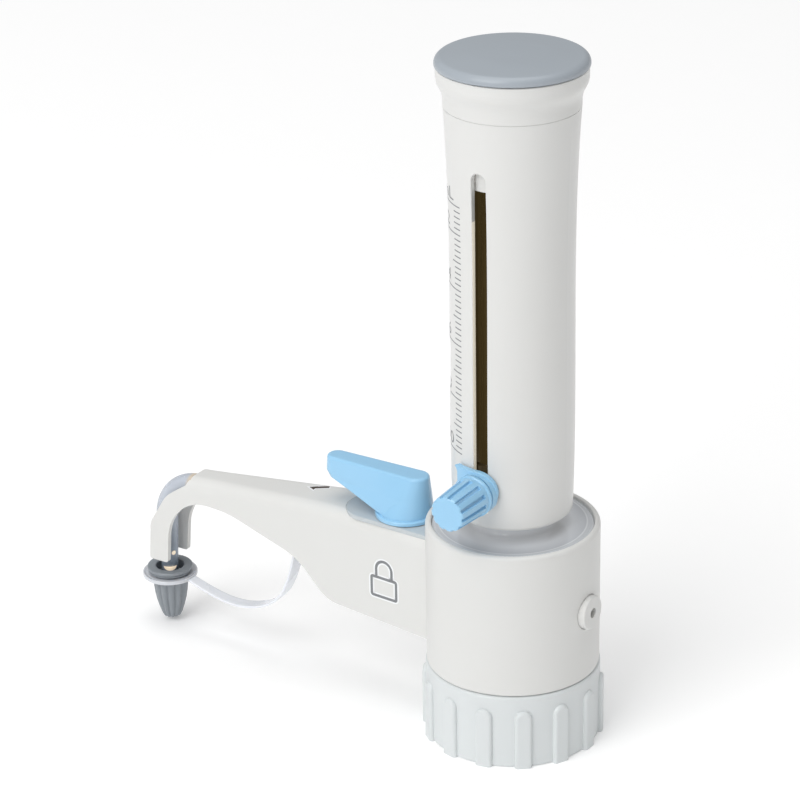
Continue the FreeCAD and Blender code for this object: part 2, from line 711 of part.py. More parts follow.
def arm_shell():
    """Cover over the valve chamber and discharge tube, open below and over the bend."""
    solid = arm_form()
    solid = solid.makeFillet(ARM_TOP_EDGE, edges_where(solid, top_side_edge))
    inner_half = ARM_TIP_HALF - ARM_WALL
    cavity = arm_form(ARM_WALL)
    cavity = cavity.makeFillet(ARM_TOP_EDGE - ARM_WALL, edges_where(cavity, top_side_edge))
    cavity = cavity.common(block(-BIG, -HOUSING_R - ROOT_WALL, -BIG, BIG, 0, BIG))
    under = cavity.common(block(-BIG, -HOUSING_R - UNDER_OPEN_REACH, -BIG, BIG, 0, BIG))
    solid = solid.cut(cavity).cut(under.translated(at(0, 0, -2 * ARM_WALL)))
    solid = solid.cut(block(-BIG, window_x, -inner_half, inner_half, 0, BIG))
    pin = bar(STRAP_PIN_R, at(pin_x, -ARM_ROOT_HALF, pin_z), ACROSS, 2 * ARM_ROOT_HALF)
    wall_x = tip_x + TUBE_WALL_BACK
    wall = block(wall_x - ARM_WALL, wall_x, -BIG, BIG, 0, BIG)
    within = arm_form(ARM_WALL / 2)
    within = within.makeFillet(ARM_TOP_EDGE - ARM_WALL / 2, edges_where(within, top_side_edge))
    solid = joined(solid, pin.common(within), wall.common(within))
    lead_x = tip_x + BEND_R + ELBOW_LEAD + SEAM
    solid = solid.cut(bar(ELBOW_R + SNUG_FIT, at(lead_x, 0, outlet_z), ALONG * -1,
                          lead_x - window_x))
    solid = solid.cut(cylinder(HOUSING_R, 0, BIG))
    solid = solid.cut(bar(OUTLET_VALVE_R + SNUG_FIT, at(0, 0, outlet_z), ALONG * -1,
                          HOUSING_R + ROOT_WALL + ARM_WALL))
    solid = solid.cut(plan_slab(saddle_plan(SNUG_FIT), saddle_low, BIG))
    return solid.cut(cylinder(CHAMBER_R + SNUG_FIT, saddle_low - 2 * ARM_WALL, BIG, valve_x))


def top_side_edge(box):
    """Edges where the arm's top meets its two side walls, from the housing to the window."""
    on_side = box.YMin * box.YMax > 0 and box.XMax - box.XMin > ARM_WALL
    above = box.ZMin > housing_low + ARM_TIP_TOP - 2 * ARM_WALL
    return on_side and box.XMin > window_x - ARM_WALL and above


def saddle_plan(grow=0.0):
    """Plan view of the grey saddle: it narrows from the housing to a round end."""
    root = SADDLE_ROOT_HALF + grow
    end_r = SADDLE_END_R + grow
    end_x = -HOUSING_R - SADDLE_REACH - grow
    return [(arm_root_x, root, 0), (end_x, end_r, end_r * ROUND_END),
            (end_x, -end_r, end_r * ROUND_END), (arm_root_x, -root, 0)]


def valve_saddle():
    """Grey plate let into the arm's top, with the chamber that holds the turning plug."""
    plate = plan_slab(saddle_plan(), saddle_low, saddle_top)
    plate = plate.cut(cylinder(HOUSING_R + SNUG_FIT, 0, BIG))
    rim = edges_where(plate, saddle_rim_edge)
    plate = plate.makeFillet(SADDLE_EDGE, rim)
    chamber = cylinder(CHAMBER_R, chamber_low, saddle_low, valve_x)
    inlet = bar(OUTLET_VALVE_R, at(valve_x, 0, outlet_z), ALONG, outlet_end - valve_x)
    port = bar(PORT_BOSS_R, at(valve_x, 0, outlet_z), ALONG * -1, valve_x - discharge_start)
    body = joined(plate, chamber, inlet, port)
    body = body.cut(cylinder(PLUG_R, chamber_low + CHAMBER_FLOOR, BIG, valve_x))
    return body.cut(bar(TUBE_BORE_R, at(discharge_start - OVERCUT, 0, outlet_z), ALONG,
                        outlet_end - discharge_start + 2 * OVERCUT))


def saddle_rim_edge(box):
    """Edges round the saddle's top, without the seat against the housing."""
    return box.ZMin > saddle_top - SADDLE_EDGE and box.XMin < -HOUSING_R - SEAM


def valve_plug():
    """Turning plug with its cross passage, seal grooves and the square that drives it."""
    radius = PLUG_R - RUN_FIT
    groove_r = radius - PLUG_SEAL_DEPTH
    low = chamber_low + CHAMBER_FLOOR + SEAM
    high = saddle_low
    corners = [(0, low, 0), (radius, low, SMALL_EDGE)]
    for height in plug_seal_heights():
        corners += [(radius, height - PLUG_SEAL_R, 0), (groove_r, height - PLUG_SEAL_R, 0),
                    (groove_r, height + PLUG_SEAL_R, 0), (radius, height + PLUG_SEAL_R, 0)]
    corners += [(radius, high, 0), (STEM_R, high, SMALL_EDGE),
                (STEM_R, lever_low + STEM_LENGTH, SMALL_EDGE),
                (0, lever_low + STEM_LENGTH, 0)]
    plug = turned(corners, valve_x)
    return plug.cut(bar(TUBE_BORE_R, at(valve_x - PLUG_R, 0, outlet_z), ALONG, 2 * PLUG_R))


def plug_seal_heights():
    return [outlet_z - PLUG_SEAL_SPREAD, outlet_z + PLUG_SEAL_SPREAD]


def plug_seals():
    centre_r = PLUG_R - RUN_FIT - PLUG_SEAL_R
    rings = [Part.makeTorus(centre_r, PLUG_SEAL_R, at(valve_x, 0, height), UP)
             for height in plug_seal_heights()]
    return Part.makeCompound(rings)


def drop_outline(big_x, big_r, small_x, small_r, z):
    """Two unlike circles on the X axis with their common tangents, as a closed wire."""
    lean = math.acos((big_r - small_r) / (big_x - small_x))
    cos_a = math.cos(lean)
    sin_a = math.sin(lean)
    big_top = at(big_x - big_r * cos_a, big_r * sin_a, z)
    small_top = at(small_x - small_r * cos_a, small_r * sin_a, z)
    big_low = at(big_top.x, -big_top.y, z)
    small_low = at(small_top.x, -small_top.y, z)
    return Part.Wire([Part.Arc(big_low, at(big_x + big_r, 0, z), big_top).toShape(),
                      Part.makeLine(big_top, small_top),
                      Part.Arc(small_top, at(small_x - small_r, 0, z), small_low).toShape(),
                      Part.makeLine(small_low, big_low)])


def valve_lever():
    """Boat-shaped lever on a round flange, lofted from a circle to a narrow top."""
    neck_low = lever_low + LEVER_FLANGE_THICK
    top = lever_low + LEVER_HEIGHT
    heel_x = valve_x + LEVER_HEEL - LEVER_HEEL_R
    lever_tip_x = valve_x - LEVER_REACH + LEVER_TIP_R

    def section(height, drawn_back, swell):
        share = (height - neck_low) / (top - neck_low)
        radius = LEVER_NECK_R + (LEVER_HEEL_R - LEVER_NECK_R) * share
        middle = valve_x + LEVER_NECK_R + (LEVER_HEEL - LEVER_NECK_R) * share - radius
        return drop_outline(middle, radius, lever_tip_x + drawn_back, LEVER_TIP_R + swell, height)

    knee = top - LEVER_TIP_DEPTH
    foot = drop_outline(valve_x, LEVER_NECK_R, valve_x - 2 * SEAM, LEVER_NECK_R - SEAM, neck_low)
    low = section(knee - LEVER_TIP_BEVEL / 2, LEVER_TIP_BEVEL, LEVER_TIP_SWELL)
    middle = section(knee + LEVER_TIP_BEVEL, 0, LEVER_TIP_SWELL)
    crown = drop_outline(heel_x, LEVER_HEEL_R, lever_tip_x, LEVER_TIP_R, top)
    upper = Part.makeLoft([middle, crown], True, True)
    upper = upper.makeFillet(LEVER_EDGE, edges_where(upper, lambda b: b.ZMin > top - SEAM))
    flange = turned([(0, lever_low, 0), (LEVER_FLANGE_R, lever_low, 0),
                     (LEVER_FLANGE_R, neck_low, LEVER_FLANGE_EDGE), (0, neck_low, 0)], valve_x)
    lever = joined(flange, Part.makeLoft([foot, low], True, True),
                   Part.makeLoft([low, middle], True, True), upper)
    return lever.cut(cylinder(STEM_R, 0, lever_low + STEM_LENGTH, valve_x))


# Vent


def vent_plug():
    face_x = HOUSING_R + VENT_PROUD
    plug = turned([(0, vent_flat_x - VENT_BODY_LENGTH, 0),
                   (VENT_BODY_R, vent_flat_x - VENT_BODY_LENGTH, SMALL_EDGE),
                   (VENT_BODY_R, vent_flat_x, 0), (VENT_R, vent_flat_x, 0),
                   (VENT_R, face_x, VENT_EDGE), (0, face_x, 0)])
    plug.rotate(at(0, 0, 0), ACROSS, 90)
    plug = plug.translated(at(0, 0, vent_z))
    plug = plug.cut(bar(VENT_HOLE_R, at(face_x - VENT_HOLE_DEPTH, 0, vent_z), ALONG, BIG))
    return plug.cut(bar(FILTER_R, at(0, 0, vent_z), ALONG, face_x - VENT_HOLE_DEPTH))


def vent_filter():
    end_x = HOUSING_R + VENT_PROUD - VENT_HOLE_DEPTH
    return bar(FILTER_R, at(end_x - FILTER_THICK, 0, vent_z), ALONG, FILTER_THICK)


# Cylinder and piston


def barrel_seal():
    return tube(barrel_r, PASSAGE_R * 2, socket_floor, barrel_low)


def glass_barrel():
    return tube(barrel_r, BARREL_BORE_R, barrel_low, barrel_top)


def barrel_guard():
    """Amber tube round the glass cylinder, held by its foot under the grey shoulder disc."""
    return turned([(guard_bore_r, deck_top, 0), (DECK_R, deck_top, 0), (DECK_R, ledge_top, 0),
                   (GUARD_R, ledge_top, 0), (GUARD_R, stop_z, 0), (guard_bore_r, stop_z, 0)])


def barrel_cap():
    """Disc in the guide that covers the cylinder's end and centres the piston rod."""
    return tube(guide_bore_r, ROD_R + RUN_FIT, barrel_top, barrel_top + BARREL_CAP_THICK)


def piston():
    """Plunger with two lip grooves and a socket for the rod's end."""
    groove_r = piston_r - LIP_DEPTH
    corners = [(0, piston_low, 0), (piston_r, piston_low, SMALL_EDGE)]
    for height in lip_heights():
        corners += [(piston_r, height, 0), (groove_r, height, 0),
                    (groove_r, height + LIP_THICK, 0), (piston_r, height + LIP_THICK, 0)]
    corners += [(piston_r, piston_high, SMALL_EDGE), (ROD_R, piston_high, 0),
                (ROD_R, piston_high - PISTON_SOCKET, 0), (0, piston_high - PISTON_SOCKET, 0)]
    return turned(corners)


def lip_heights():
    return [piston_low + LIP_MARGIN, piston_high - LIP_MARGIN - LIP_THICK]


def piston_lips():
    rings = [tube(piston_r, piston_r - LIP_DEPTH, height, height + LIP_THICK)
             for height in lip_heights()]
    return Part.makeCompound(rings)


def piston_rod():
    end_z = carrier_high + ROD_NUT_THICK
    return turned([(0, piston_high - PISTON_SOCKET, 0), (ROD_R, piston_high - PISTON_SOCKET, 0),
                   (ROD_R, carrier_low, 0), (ROD_END_R, carrier_low, 0),
                   (ROD_END_R, end_z, SMALL_EDGE), (0, end_z, 0)])


def rod_carrier():
    """Disc clamped under the handle: it carries the piston rod."""
    return turned([(ROD_END_R, carrier_low, 0), (sleeve_bore_r, carrier_low, GUIDE_EDGE),
                   (sleeve_bore_r, carrier_high, 0), (ROD_END_R, carrier_high, 0)])


def rod_nut():
    angles = [2 * math.pi * k / NUT_SIDES for k in range(NUT_SIDES)]
    corners = [(ROD_NUT_R * math.cos(a), ROD_NUT_R * math.sin(a), 0) for a in angles]
    nut = plan_slab(corners, carrier_high, carrier_high + ROD_NUT_THICK)
    return nut.cut(cylinder(ROD_END_R, 0, BIG))


def guide_tube():
    """White cup on the guard's top: the sleeve runs on its land, and it stops the slider."""
    land_r = sleeve_bore_r - RUN_FIT
    land_high = guide_top - LAND_DROP
    cylinder_r = barrel_r + SNUG_FIT
    spigot_r = guard_bore_r - SNUG_FIT
    return turned([(cylinder_r, stop_z - GUIDE_SPIGOT, 0), (spigot_r, stop_z - GUIDE_SPIGOT, 0),
                   (spigot_r, stop_z, 0), (GUIDE_R, stop_z, 0),
                   (GUIDE_R, land_high - LAND_LENGTH, 0), (land_r, land_high - LAND_LENGTH, 0),
                   (land_r, land_high, 0), (GUIDE_R, land_high, 0),
                   (GUIDE_R, guide_top, GUIDE_EDGE), (guide_bore_r, guide_top, GUIDE_EDGE),
                   (guide_bore_r, barrel_top, 0), (cylinder_r, barrel_top, 0)])


# Sleeve, handle and cap


def sleeve_section():
    """Half section of the sleeve: a straight bore and an outer line that swells to the handle."""
    heights = [(SLEEVE_FOOT_R, SLEEVE_EDGE), (SLEEVE_MID_R, SLEEVE_MID),
               (SLEEVE_LONG_R, SLEEVE_LENGTH - SLEEVE_LONG_DROP), (SLEEVE_TOP_R, SLEEVE_LENGTH)]
    swell = Part.BSplineCurve()
    swell.interpolate([at(radius, 0, sleeve_low + height) for radius, height in heights])
    low_in = at(sleeve_bore_r, 0, sleeve_low)
    low_out = at(SLEEVE_FOOT_R - SLEEVE_EDGE, 0, sleeve_low)
    shortfall = SLEEVE_EDGE * (1 - math.sqrt(0.5))
    round_middle = at(SLEEVE_FOOT_R - shortfall, 0, sleeve_low + shortfall)
    side = at(SLEEVE_FOOT_R, 0, sleeve_low + SLEEVE_EDGE)
    top_out = at(SLEEVE_TOP_R, 0, sleeve_top)
    top_in = at(sleeve_bore_r, 0, sleeve_top)
    return Part.Wire([Part.makeLine(low_in, low_out),
                      Part.Arc(low_out, round_middle, side).toShape(), swell.toShape(),
                      Part.makeLine(top_out, top_in), Part.makeLine(top_in, low_in)])


def sleeve():
    """Piston sleeve: a long tube that swells to the handle, with the slider's slot."""
    body = Part.Face(sleeve_section()).revolve(at(0, 0, 0), UP, 360)
    half = SLOT_WIDTH / 2
    slot_low = knob_z - SLIDER_STEM_HEIGHT / 2 - SLOT_MARGIN
    slot_high = sleeve_top - SLOT_DROP
    corners = [(-half, slot_low, 0), (half, slot_low, 0), (half, slot_high, half * ROUND_END),
               (-half, slot_high, half * ROUND_END)]
    face = Part.Face(outline(corners, side_view))
    body = body.cut(face.extrude(at(0, -BIG, 0)))
    rim = edges_where(body, slot_rim_edge)
    return body.makeFillet(SLOT_EDGE, rim)


def slot_rim_edge(box):
    """Outer edges of the slot, at the sleeve's surface."""
    in_slot = box.XMax < SLOT_WIDTH and box.XMin > -SLOT_WIDTH and box.YMax < 0
    return in_slot and box.YMin < -SLEEVE_MID_R + SEAM and box.YMax < -sleeve_bore_r - SEAM


def handle_ring():
    """Ring that the hand lifts: it swells from the sleeve to a short upright band."""
    spigot_r = sleeve_bore_r - HANDLE_SPIGOT_WALL
    neck = sleeve_top + (HANDLE_HEIGHT - HANDLE_BAND) / 2
    band = handle_top - HANDLE_BAND
    step = sleeve_top + HANDLE_STEP
    return turned([(spigot_r, carrier_high, 0), (sleeve_bore_r, carrier_high, 0),
                   (sleeve_bore_r, sleeve_top, 0), (SLEEVE_TOP_R, sleeve_top, HANDLE_EDGE),
                   (SLEEVE_TOP_R + HANDLE_FLARE, neck, HANDLE_NECK_BEND),
                   (HANDLE_R, band, HANDLE_BAND_BEND), (HANDLE_R, handle_top, HANDLE_EDGE),
                   (HANDLE_HOLE_R, handle_top, 0), (HANDLE_HOLE_R, step, 0), (spigot_r, step, 0)])


def top_cap():
    """Grey cap with a crowned top, a soft rim and a spigot in the handle ring."""
    spigot_r = HANDLE_HOLE_R - SNUG_FIT
    inner = spigot_r - CAP_SPIGOT_WALL
    low = cap_low - CAP_SPIGOT
    high = cap_low + CAP_HEIGHT
    side = CAP_HEIGHT - CAP_CROWN
    seat_r = HANDLE_HOLE_R + CAP_SEAT
    return turned([(0, cap_low, 0), (inner, cap_low, 0), (inner, low, 0), (spigot_r, low, 0),
                   (spigot_r, handle_top, 0), (seat_r, handle_top, 0), (seat_r, cap_low, 0),
                   (top_cap_r, cap_low, CAP_LOW_EDGE),
                   (top_cap_r, cap_low + side, side * CAP_EDGE_SHARE),
                   (top_cap_r / 2, high - CAP_CROWN * CAP_CROWN_FALL, CAP_CROWN_BEND), (0, high, 0)])


# Slider and knob


def slider_plate():
    """Pointer plate curved to the sleeve, with a round disc behind the knob."""
    middle = knob_z + PLATE_RISE
    high = middle + PLATE_R
    low = middle - PLATE_R
    corners = [(PLATE_R, high, PLATE_R * ROUND_END), (PLATE_R, low, PLATE_R * ROUND_END),
               (-PLATE_R, low, PLATE_R * PLATE_CORNER), (-PLATE_R, middle, POINTER_BEND),
               (-POINTER_REACH, high - POINTER_TIP_HEIGHT, POINTER_EDGE),
               (-POINTER_REACH, high, POINTER_EDGE / 2)]
    face = Part.Face(outline(corners, side_view))
    ring = tube(plate_r, plate_bore_r, foot_low - FOOT_LENGTH, foot_high + FOOT_LENGTH)
    plate = face.extrude(at(0, -BIG, 0)).common(ring)
    seat = bar(KNOB_BASE_R, at(0, -plate_bore_r - PLATE_THICK / 2, knob_z), ACROSS * -1,
               PLATE_THICK / 2 + SEAT_PROUD)
    plate = joined(plate, seat)
    half = SLIDER_STEM_WIDTH / 2
    low = knob_z - SLIDER_STEM_HEIGHT / 2
    return plate.cut(bar(STUD_R, at(0, 0, knob_z), ACROSS * -1, BIG)).cut(
        block(-half, half, -plate_bore_r - STEM_SOCKET, 0, low, low + SLIDER_STEM_HEIGHT))


def slider_foot():
    """Foot inside the sleeve, with the stem that passes through the sleeve's slot."""
    outer = GUIDE_R
    half = FOOT_WIDTH / 2
    ring = tube(outer, outer - FOOT_THICK, foot_low, foot_high)
    foot = ring.common(block(-half, half, -BIG, 0, foot_low, foot_high))
    half = SLIDER_STEM_WIDTH / 2
    low = knob_z - SLIDER_STEM_HEIGHT / 2
    stem = block(-half, half, -plate_bore_r - STEM_SOCKET, FOOT_THICK / 2 - outer, low,
                 low + SLIDER_STEM_HEIGHT)
    foot = joined(foot, stem)
    return foot.cut(bar(STUD_R, at(0, -outer + STUD_SOCKET, knob_z), ACROSS * -1, BIG))


def clamp_stud():
    start = GUIDE_R - STUD_SOCKET
    end = knob_back_y + INSERT_LENGTH + STUD_PROUD
    return bar(STUD_R, at(0, -start, knob_z), ACROSS * -1, end - start)


def knob_frame(solid):
    """Lays a knob made along +Z, from its back face at 0, on the slider's axis."""
    solid = solid.rotated(at(0, 0, 0), ALONG, 90)
    return solid.translated(at(0, -knob_back_y, knob_z))


def clamp_knob():
    """Tapered knob with a plain ring at its base and flutes that run out at its face."""
    body = turned([(0, 0, 0), (KNOB_BASE_R, 0, KNOB_RING_EDGE),
                   (KNOB_BASE_R, KNOB_RING, KNOB_RING_EDGE), (KNOB_BODY_R, KNOB_RING, 0),
                   (KNOB_FACE_R, KNOB_LENGTH, KNOB_EDGE), (0, KNOB_LENGTH, 0)])
    low = KNOB_RING + FLUTE_MARGIN
    high = KNOB_LENGTH + FLUTE_R
    slope = (KNOB_BODY_R - KNOB_FACE_R) / (KNOB_LENGTH - KNOB_RING)
    start = at(KNOB_BODY_R - slope * (low - KNOB_RING) + FLUTE_RISE, 0, low)
    end = at(KNOB_BODY_R - slope * (high - KNOB_RING) + FLUTE_RISE, 0, high)
    path = end - start
    flute = joined(bar(FLUTE_R, start, path, path.Length), Part.makeSphere(FLUTE_R, start))
    body = body.cut(around(flute, FLUTE_COUNT))
    return knob_frame(body.cut(cylinder(INSERT_R, -1, INSERT_LENGTH + 2 * STUD_PROUD)))


def knob_insert():
    return knob_frame(tube(INSERT_R, STUD_R + RUN_FIT, INSERT_SINK, INSERT_LENGTH))


# Nozzle cap and tether


def nozzle_cap():
    """Push-on cap: flange, neck for the tether ring and a grooved, tapering nose."""
    high = CAP_FLANGE_TOP_Z
    neck_high = high - CAP_FLANGE_THICK
    shoulder = neck_high - CAP_NECK_HEIGHT
    waist = (shoulder + CAP_LOW_Z) / 2
    recess_low = high - CAP_RECESS_DEPTH
    body = turned([(0, CAP_LOW_Z, 0), (CAP_NOSE_R, CAP_LOW_Z, CAP_NOSE_EDGE),
                   (CAP_WAIST_R, waist, CAP_WAIST_BEND), (CAP_SHOULDER_R, shoulder, SMALL_EDGE),
                   (CAP_NECK_R, shoulder, 0), (CAP_NECK_R, neck_high, 0),
                   (CAP_FLANGE_R, neck_high, SMALL_EDGE), (CAP_FLANGE_R, high, SMALL_EDGE),
                   (CAP_RECESS_R, high, SMALL_EDGE), (CAP_RECESS_R, recess_low, 0),
                   (ELBOW_R, recess_low, 0), (NOZZLE_TIP_R + SEAM, NOZZLE_TIP_Z - SEAM, 0),
                   (0, NOZZLE_TIP_Z - SEAM, 0)], tip_x)
    line = [(CAP_NOSE_R, CAP_LOW_Z), (CAP_WAIST_R, waist),
            (CAP_SHOULDER_R, shoulder - CAP_GROOVE_MARGIN)]
    points = [at(tip_x + radius + CAP_GROOVE_RISE, 0, height) for radius, height in line]
    nose, middle, end = points
    groove = joined(bar(CAP_GROOVE_R, nose, middle - nose, (middle - nose).Length),
                    bar(CAP_GROOVE_R, middle, end - middle, (end - middle).Length),
                    *[Part.makeSphere(CAP_GROOVE_R, point) for point in points])
    return body.cut(around(groove, CAP_GROOVE_COUNT, CAP_FIRST_GROOVE, at(tip_x, 0, 0)))


def tether_ring():
    neck_high = CAP_FLANGE_TOP_Z - CAP_FLANGE_THICK
    low = neck_high - CAP_NECK_HEIGHT + TETHER_PLAY
    high = low + TETHER_RING_THICK
    edge = TETHER_LIP / 2
    return turned([(CAP_NECK_R, low, 0), (TETHER_RING_R, low, edge),
                   (TETHER_RING_R, high + TETHER_LIP, edge),
                   (TETHER_RING_R - 2 * TETHER_LIP, high, edge), (CAP_NECK_R, high, 0)], tip_x)


def cap_strap():
    """Flat band from the tether ring to the pin inside the arm."""
    half = STRAP_WIDTH / 2
    thick = STRAP_THICK / 2
    eye_r = STRAP_PIN_R + SNUG_FIT + STRAP_EYE_WALL
    ring_high = CAP_FLANGE_TOP_Z - CAP_FLANGE_THICK - CAP_NECK_HEIGHT + TETHER_PLAY
    start = (tip_x + TETHER_RING_R, ring_high + thick, 0)
    end = (pin_x - thick, pin_z - eye_r + SEAM, 0)
    span = pin_x - start[0]
    route = [start,
             (start[0] + span * STRAP_LOW_SHARE, STRAP_LOW_Z, span * STRAP_LOW_BEND_SHARE),
             (start[0] + span * STRAP_RISE_SHARE, STRAP_RISE_Z, span * STRAP_RISE_BEND_SHARE),
             end]
    path = open_path(route)
    first = at(start[0], 0, start[1])
    lead = (at(route[1][0], 0, route[1][1]) - first).normalize()
    normal = lead.cross(ACROSS)
    ends = [first + ACROSS * sy * half + normal * sn * thick
            for sy, sn in ((-1, -1), (1, -1), (1, 1), (-1, 1))]
    section = Part.makePolygon(ends + [ends[0]])
    band = path.makePipeShell([section], True, True)
    pin = at(pin_x, 0, pin_z)
    strap = joined(band, bar(eye_r, pin - ACROSS * half, ACROSS, STRAP_WIDTH))
    strap = strap.cut(bar(STRAP_PIN_R + SNUG_FIT, pin - ACROSS * BIG, ACROSS, 2 * BIG))
    return strap.cut(cylinder(TETHER_RING_R, 0, BIG, tip_x))


def open_path(route):
    """Lines joined by arcs through (x, z, rounding) points in the centre plane."""
    closed = outline(route, side_view)
    first = at(route[0][0], 0, route[0][1])
    last = at(route[-1][0], 0, route[-1][1])
    kept = [edge for edge in closed.Edges
            if not (touches(edge, first) and touches(edge, last))]
    return Part.Wire(Part.sortEdges(kept)[0])


def touches(edge, point):
    return min(v.Point.distanceToPoint(point) for v in edge.Vertexes) < 1e-6


def export(name, shape):
    shape.exportStep(os.path.join("parts", name + ".step"))
    print(name, len(shape.Solids), shape.isValid(), round(shape.Volume, 1))


NODES = [bottle_collar, collar_retainer, bottle_gasket, valve_housing, shoulder_ring, valve_block,
         block_screws, filling_valve, inlet_cage, inlet_ball, outlet_valve, outlet_ball,
         outlet_spring, discharge_tube, arm_shell, valve_saddle, valve_plug, plug_seals,
         valve_lever, vent_plug, vent_filter, barrel_seal, glass_barrel, barrel_guard, barrel_cap,
         piston, piston_lips, piston_rod, rod_carrier, rod_nut, guide_tube, sleeve, handle_ring,
         top_cap, slider_plate, slider_foot, clamp_stud, clamp_knob, knob_insert, nozzle_cap,
         tether_ring, cap_strap]

os.makedirs("parts", exist_ok=True)
for make in NODES:
    export(make.__name__, make())
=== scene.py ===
import json
import math

import bmesh
import bpy
from mathutils import Matrix, Vector
from mathutils.bvhtree import BVHTree


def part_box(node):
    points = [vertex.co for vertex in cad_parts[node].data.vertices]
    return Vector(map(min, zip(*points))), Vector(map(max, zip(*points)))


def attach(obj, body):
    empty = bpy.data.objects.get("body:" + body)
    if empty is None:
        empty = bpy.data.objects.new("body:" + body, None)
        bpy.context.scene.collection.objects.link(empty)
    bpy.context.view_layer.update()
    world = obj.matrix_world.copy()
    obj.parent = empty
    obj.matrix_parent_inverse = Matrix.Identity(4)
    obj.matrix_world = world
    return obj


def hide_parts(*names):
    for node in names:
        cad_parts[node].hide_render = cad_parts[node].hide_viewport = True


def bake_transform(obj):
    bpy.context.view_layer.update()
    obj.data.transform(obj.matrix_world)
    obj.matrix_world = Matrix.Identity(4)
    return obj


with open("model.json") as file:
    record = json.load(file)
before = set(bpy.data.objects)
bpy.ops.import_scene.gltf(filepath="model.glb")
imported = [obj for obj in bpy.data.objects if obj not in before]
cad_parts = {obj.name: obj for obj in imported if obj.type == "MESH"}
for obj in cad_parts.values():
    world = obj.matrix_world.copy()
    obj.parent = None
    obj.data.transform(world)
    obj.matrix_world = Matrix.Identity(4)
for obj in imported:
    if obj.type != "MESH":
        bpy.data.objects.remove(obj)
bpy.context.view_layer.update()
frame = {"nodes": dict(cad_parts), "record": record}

# Looks of a bottle-top dispenser, in metres. +Z is up, the dispenser's axis is the Z axis, the
# discharge arm points along -X and the volume scale faces -Y. Sizes are written in millimetres.

MM = 0.001
NODES = frame["nodes"]
UPRIGHT = Matrix.Rotation(math.radians(90), 4, "X")    # from the XY plane to the XZ plane

# Camera, solved from the circles of the top cap, the rim and the collar
CAMERA_PLACE = (489.4, -808.0, 548.0)
CAMERA_AIM = (-36.9, -12.7, 120.8)
CAMERA_ROLL = -1.0
CAMERA_LENS = 138.8
CAMERA_SENSOR = 36.0

# Studio: a large soft light before the dispenser, a soft one above and bright air, in metres
LIGHT_AIM = (-0.03, 0, 0.12)
KEY_PLACE = (-0.36, -2.39, 2.1)
KEY_SIZE = 2.2
KEY_POWER = 54.0
OVERHEAD_STRENGTH = 1.22
OVERHEAD_ANGLE = 60.0    # degrees
AIR_STRENGTH = 0.325
FLOOR_SIZE = 6.0
FLOOR_GLOW = 0.11

# Printed volume scale: heights, angles from -Y towards -X, and lengths along the sleeve
SCALE_LOW_VOLUME = 1
SCALE_HIGH_VOLUME = 10
SCALE_LOW_Z = 197.8      # height of the 1 mL mark
SCALE_HIGH_Z = 110.1     # height of the 10 mL mark
SCALE_STEP = 0.2
SCALE_RIGHT_ANGLE = 22.5
TICK_SHORT = 3.8
TICK_ODD = 5.3
TICK_LONG = 14.5
TICK_WIDTH = 0.4
NUMERAL_ANGLE = 50.0
NUMERAL_HEIGHT = 4.3
NUMERAL_STRETCH = 1.5
NUMERAL_LIFT = 1.4
UNIT_ANGLE = 48.0
CAPITAL_SHARE = 0.72     # height of a capital letter in a font of size 1
PRINT_R = 21.0           # radius on which the print's arcs are measured
PRINT_LONG_EDGE = 2.0    # longer edges are cut, so that the print follows the sleeve
PRINT_CUTS = 10
PRINT_FILM = 0.03
HALO = 0.6               # white margin of a sign on the arm

# Padlock on the arm's near side, in the side view
PADLOCK_LEFT = -51.3
PADLOCK_RIGHT = -39.6
PADLOCK_LOW = 42.1
PADLOCK_HIGH = 50.5
PADLOCK_LINE = 1.05
PADLOCK_CORNER = 1.1
SHACKLE_LEFT = -49.2
SHACKLE_RIGHT = -41.5
SHACKLE_TOP = 57.1

# Bent arrow on the arm's top, in plan: its head points along the arm at the nozzle
ARROW_HEAD_PLACE = (-84.9, 3.05)
ARROW_HEAD_R = 1.9
ARROW_TAIL_PLACE = (-82.3, 4.3)
ARROW_TURN = 25.5        # degrees
ARROW_LENGTH = 5.6
ARROW_LINE = 1.7
ARROW_HEIGHT = 80.0      # above the arm, on which it is laid

# Cap's strap, in the centre plane: (x, z) control points from the tether ring to the pin
STRAP_ROUTE = ((-139.6, 19.45), (-128.5, 15.6), (-114.5, 14.8), (-99.5, 20.6), (-91.8, 34.0),
               (-88.6, 49.4))
STRAP_WIDTH = 4.3        # at the ring, and how much wider it is at the pin
STRAP_WIDENS = 2.6
STRAP_THICK = 0.9
STRAP_PIN = (-86.5, 50.9)
STRAP_EYE_R = 2.5
STRAP_EYE_HOLE_R = 1.55
STRAP_SMOOTHNESS = 16    # points of the band from one control point to the next
STRAP_EYE_STEPS = 32
STRAP_SIDE_ANGLE = 69.0  # degrees: the edges that turn more are the band's sides

# Pointer plate behind the knob, rolled on the sleeve: lengths along the sleeve and heights
PLATE_CENTRE_Z = 100.0
PLATE_R = 7.0
PLATE_INSIDE_R = 21.45
PLATE_THICK = 1.8
PLATE_EDGE = 0.35
PLATE_STEPS = 144
PLATE_CUTS = range(-10, 7)    # planes across the plate, so that it rolls smoothly
POINTER = ((-9.2, 6.75), (-9.75, 6.4), (-8.9, 5.6), (-8.4, 4.6), (-8.35, 0.5))
POINTER_FROM = 100.0     # where the pointer leaves the round plate, and where it joins again
POINTER_TO = 215.0
SEAT_R = 7.2
SEAT_PROUD = 1.2
SEAT_STEPS = 96

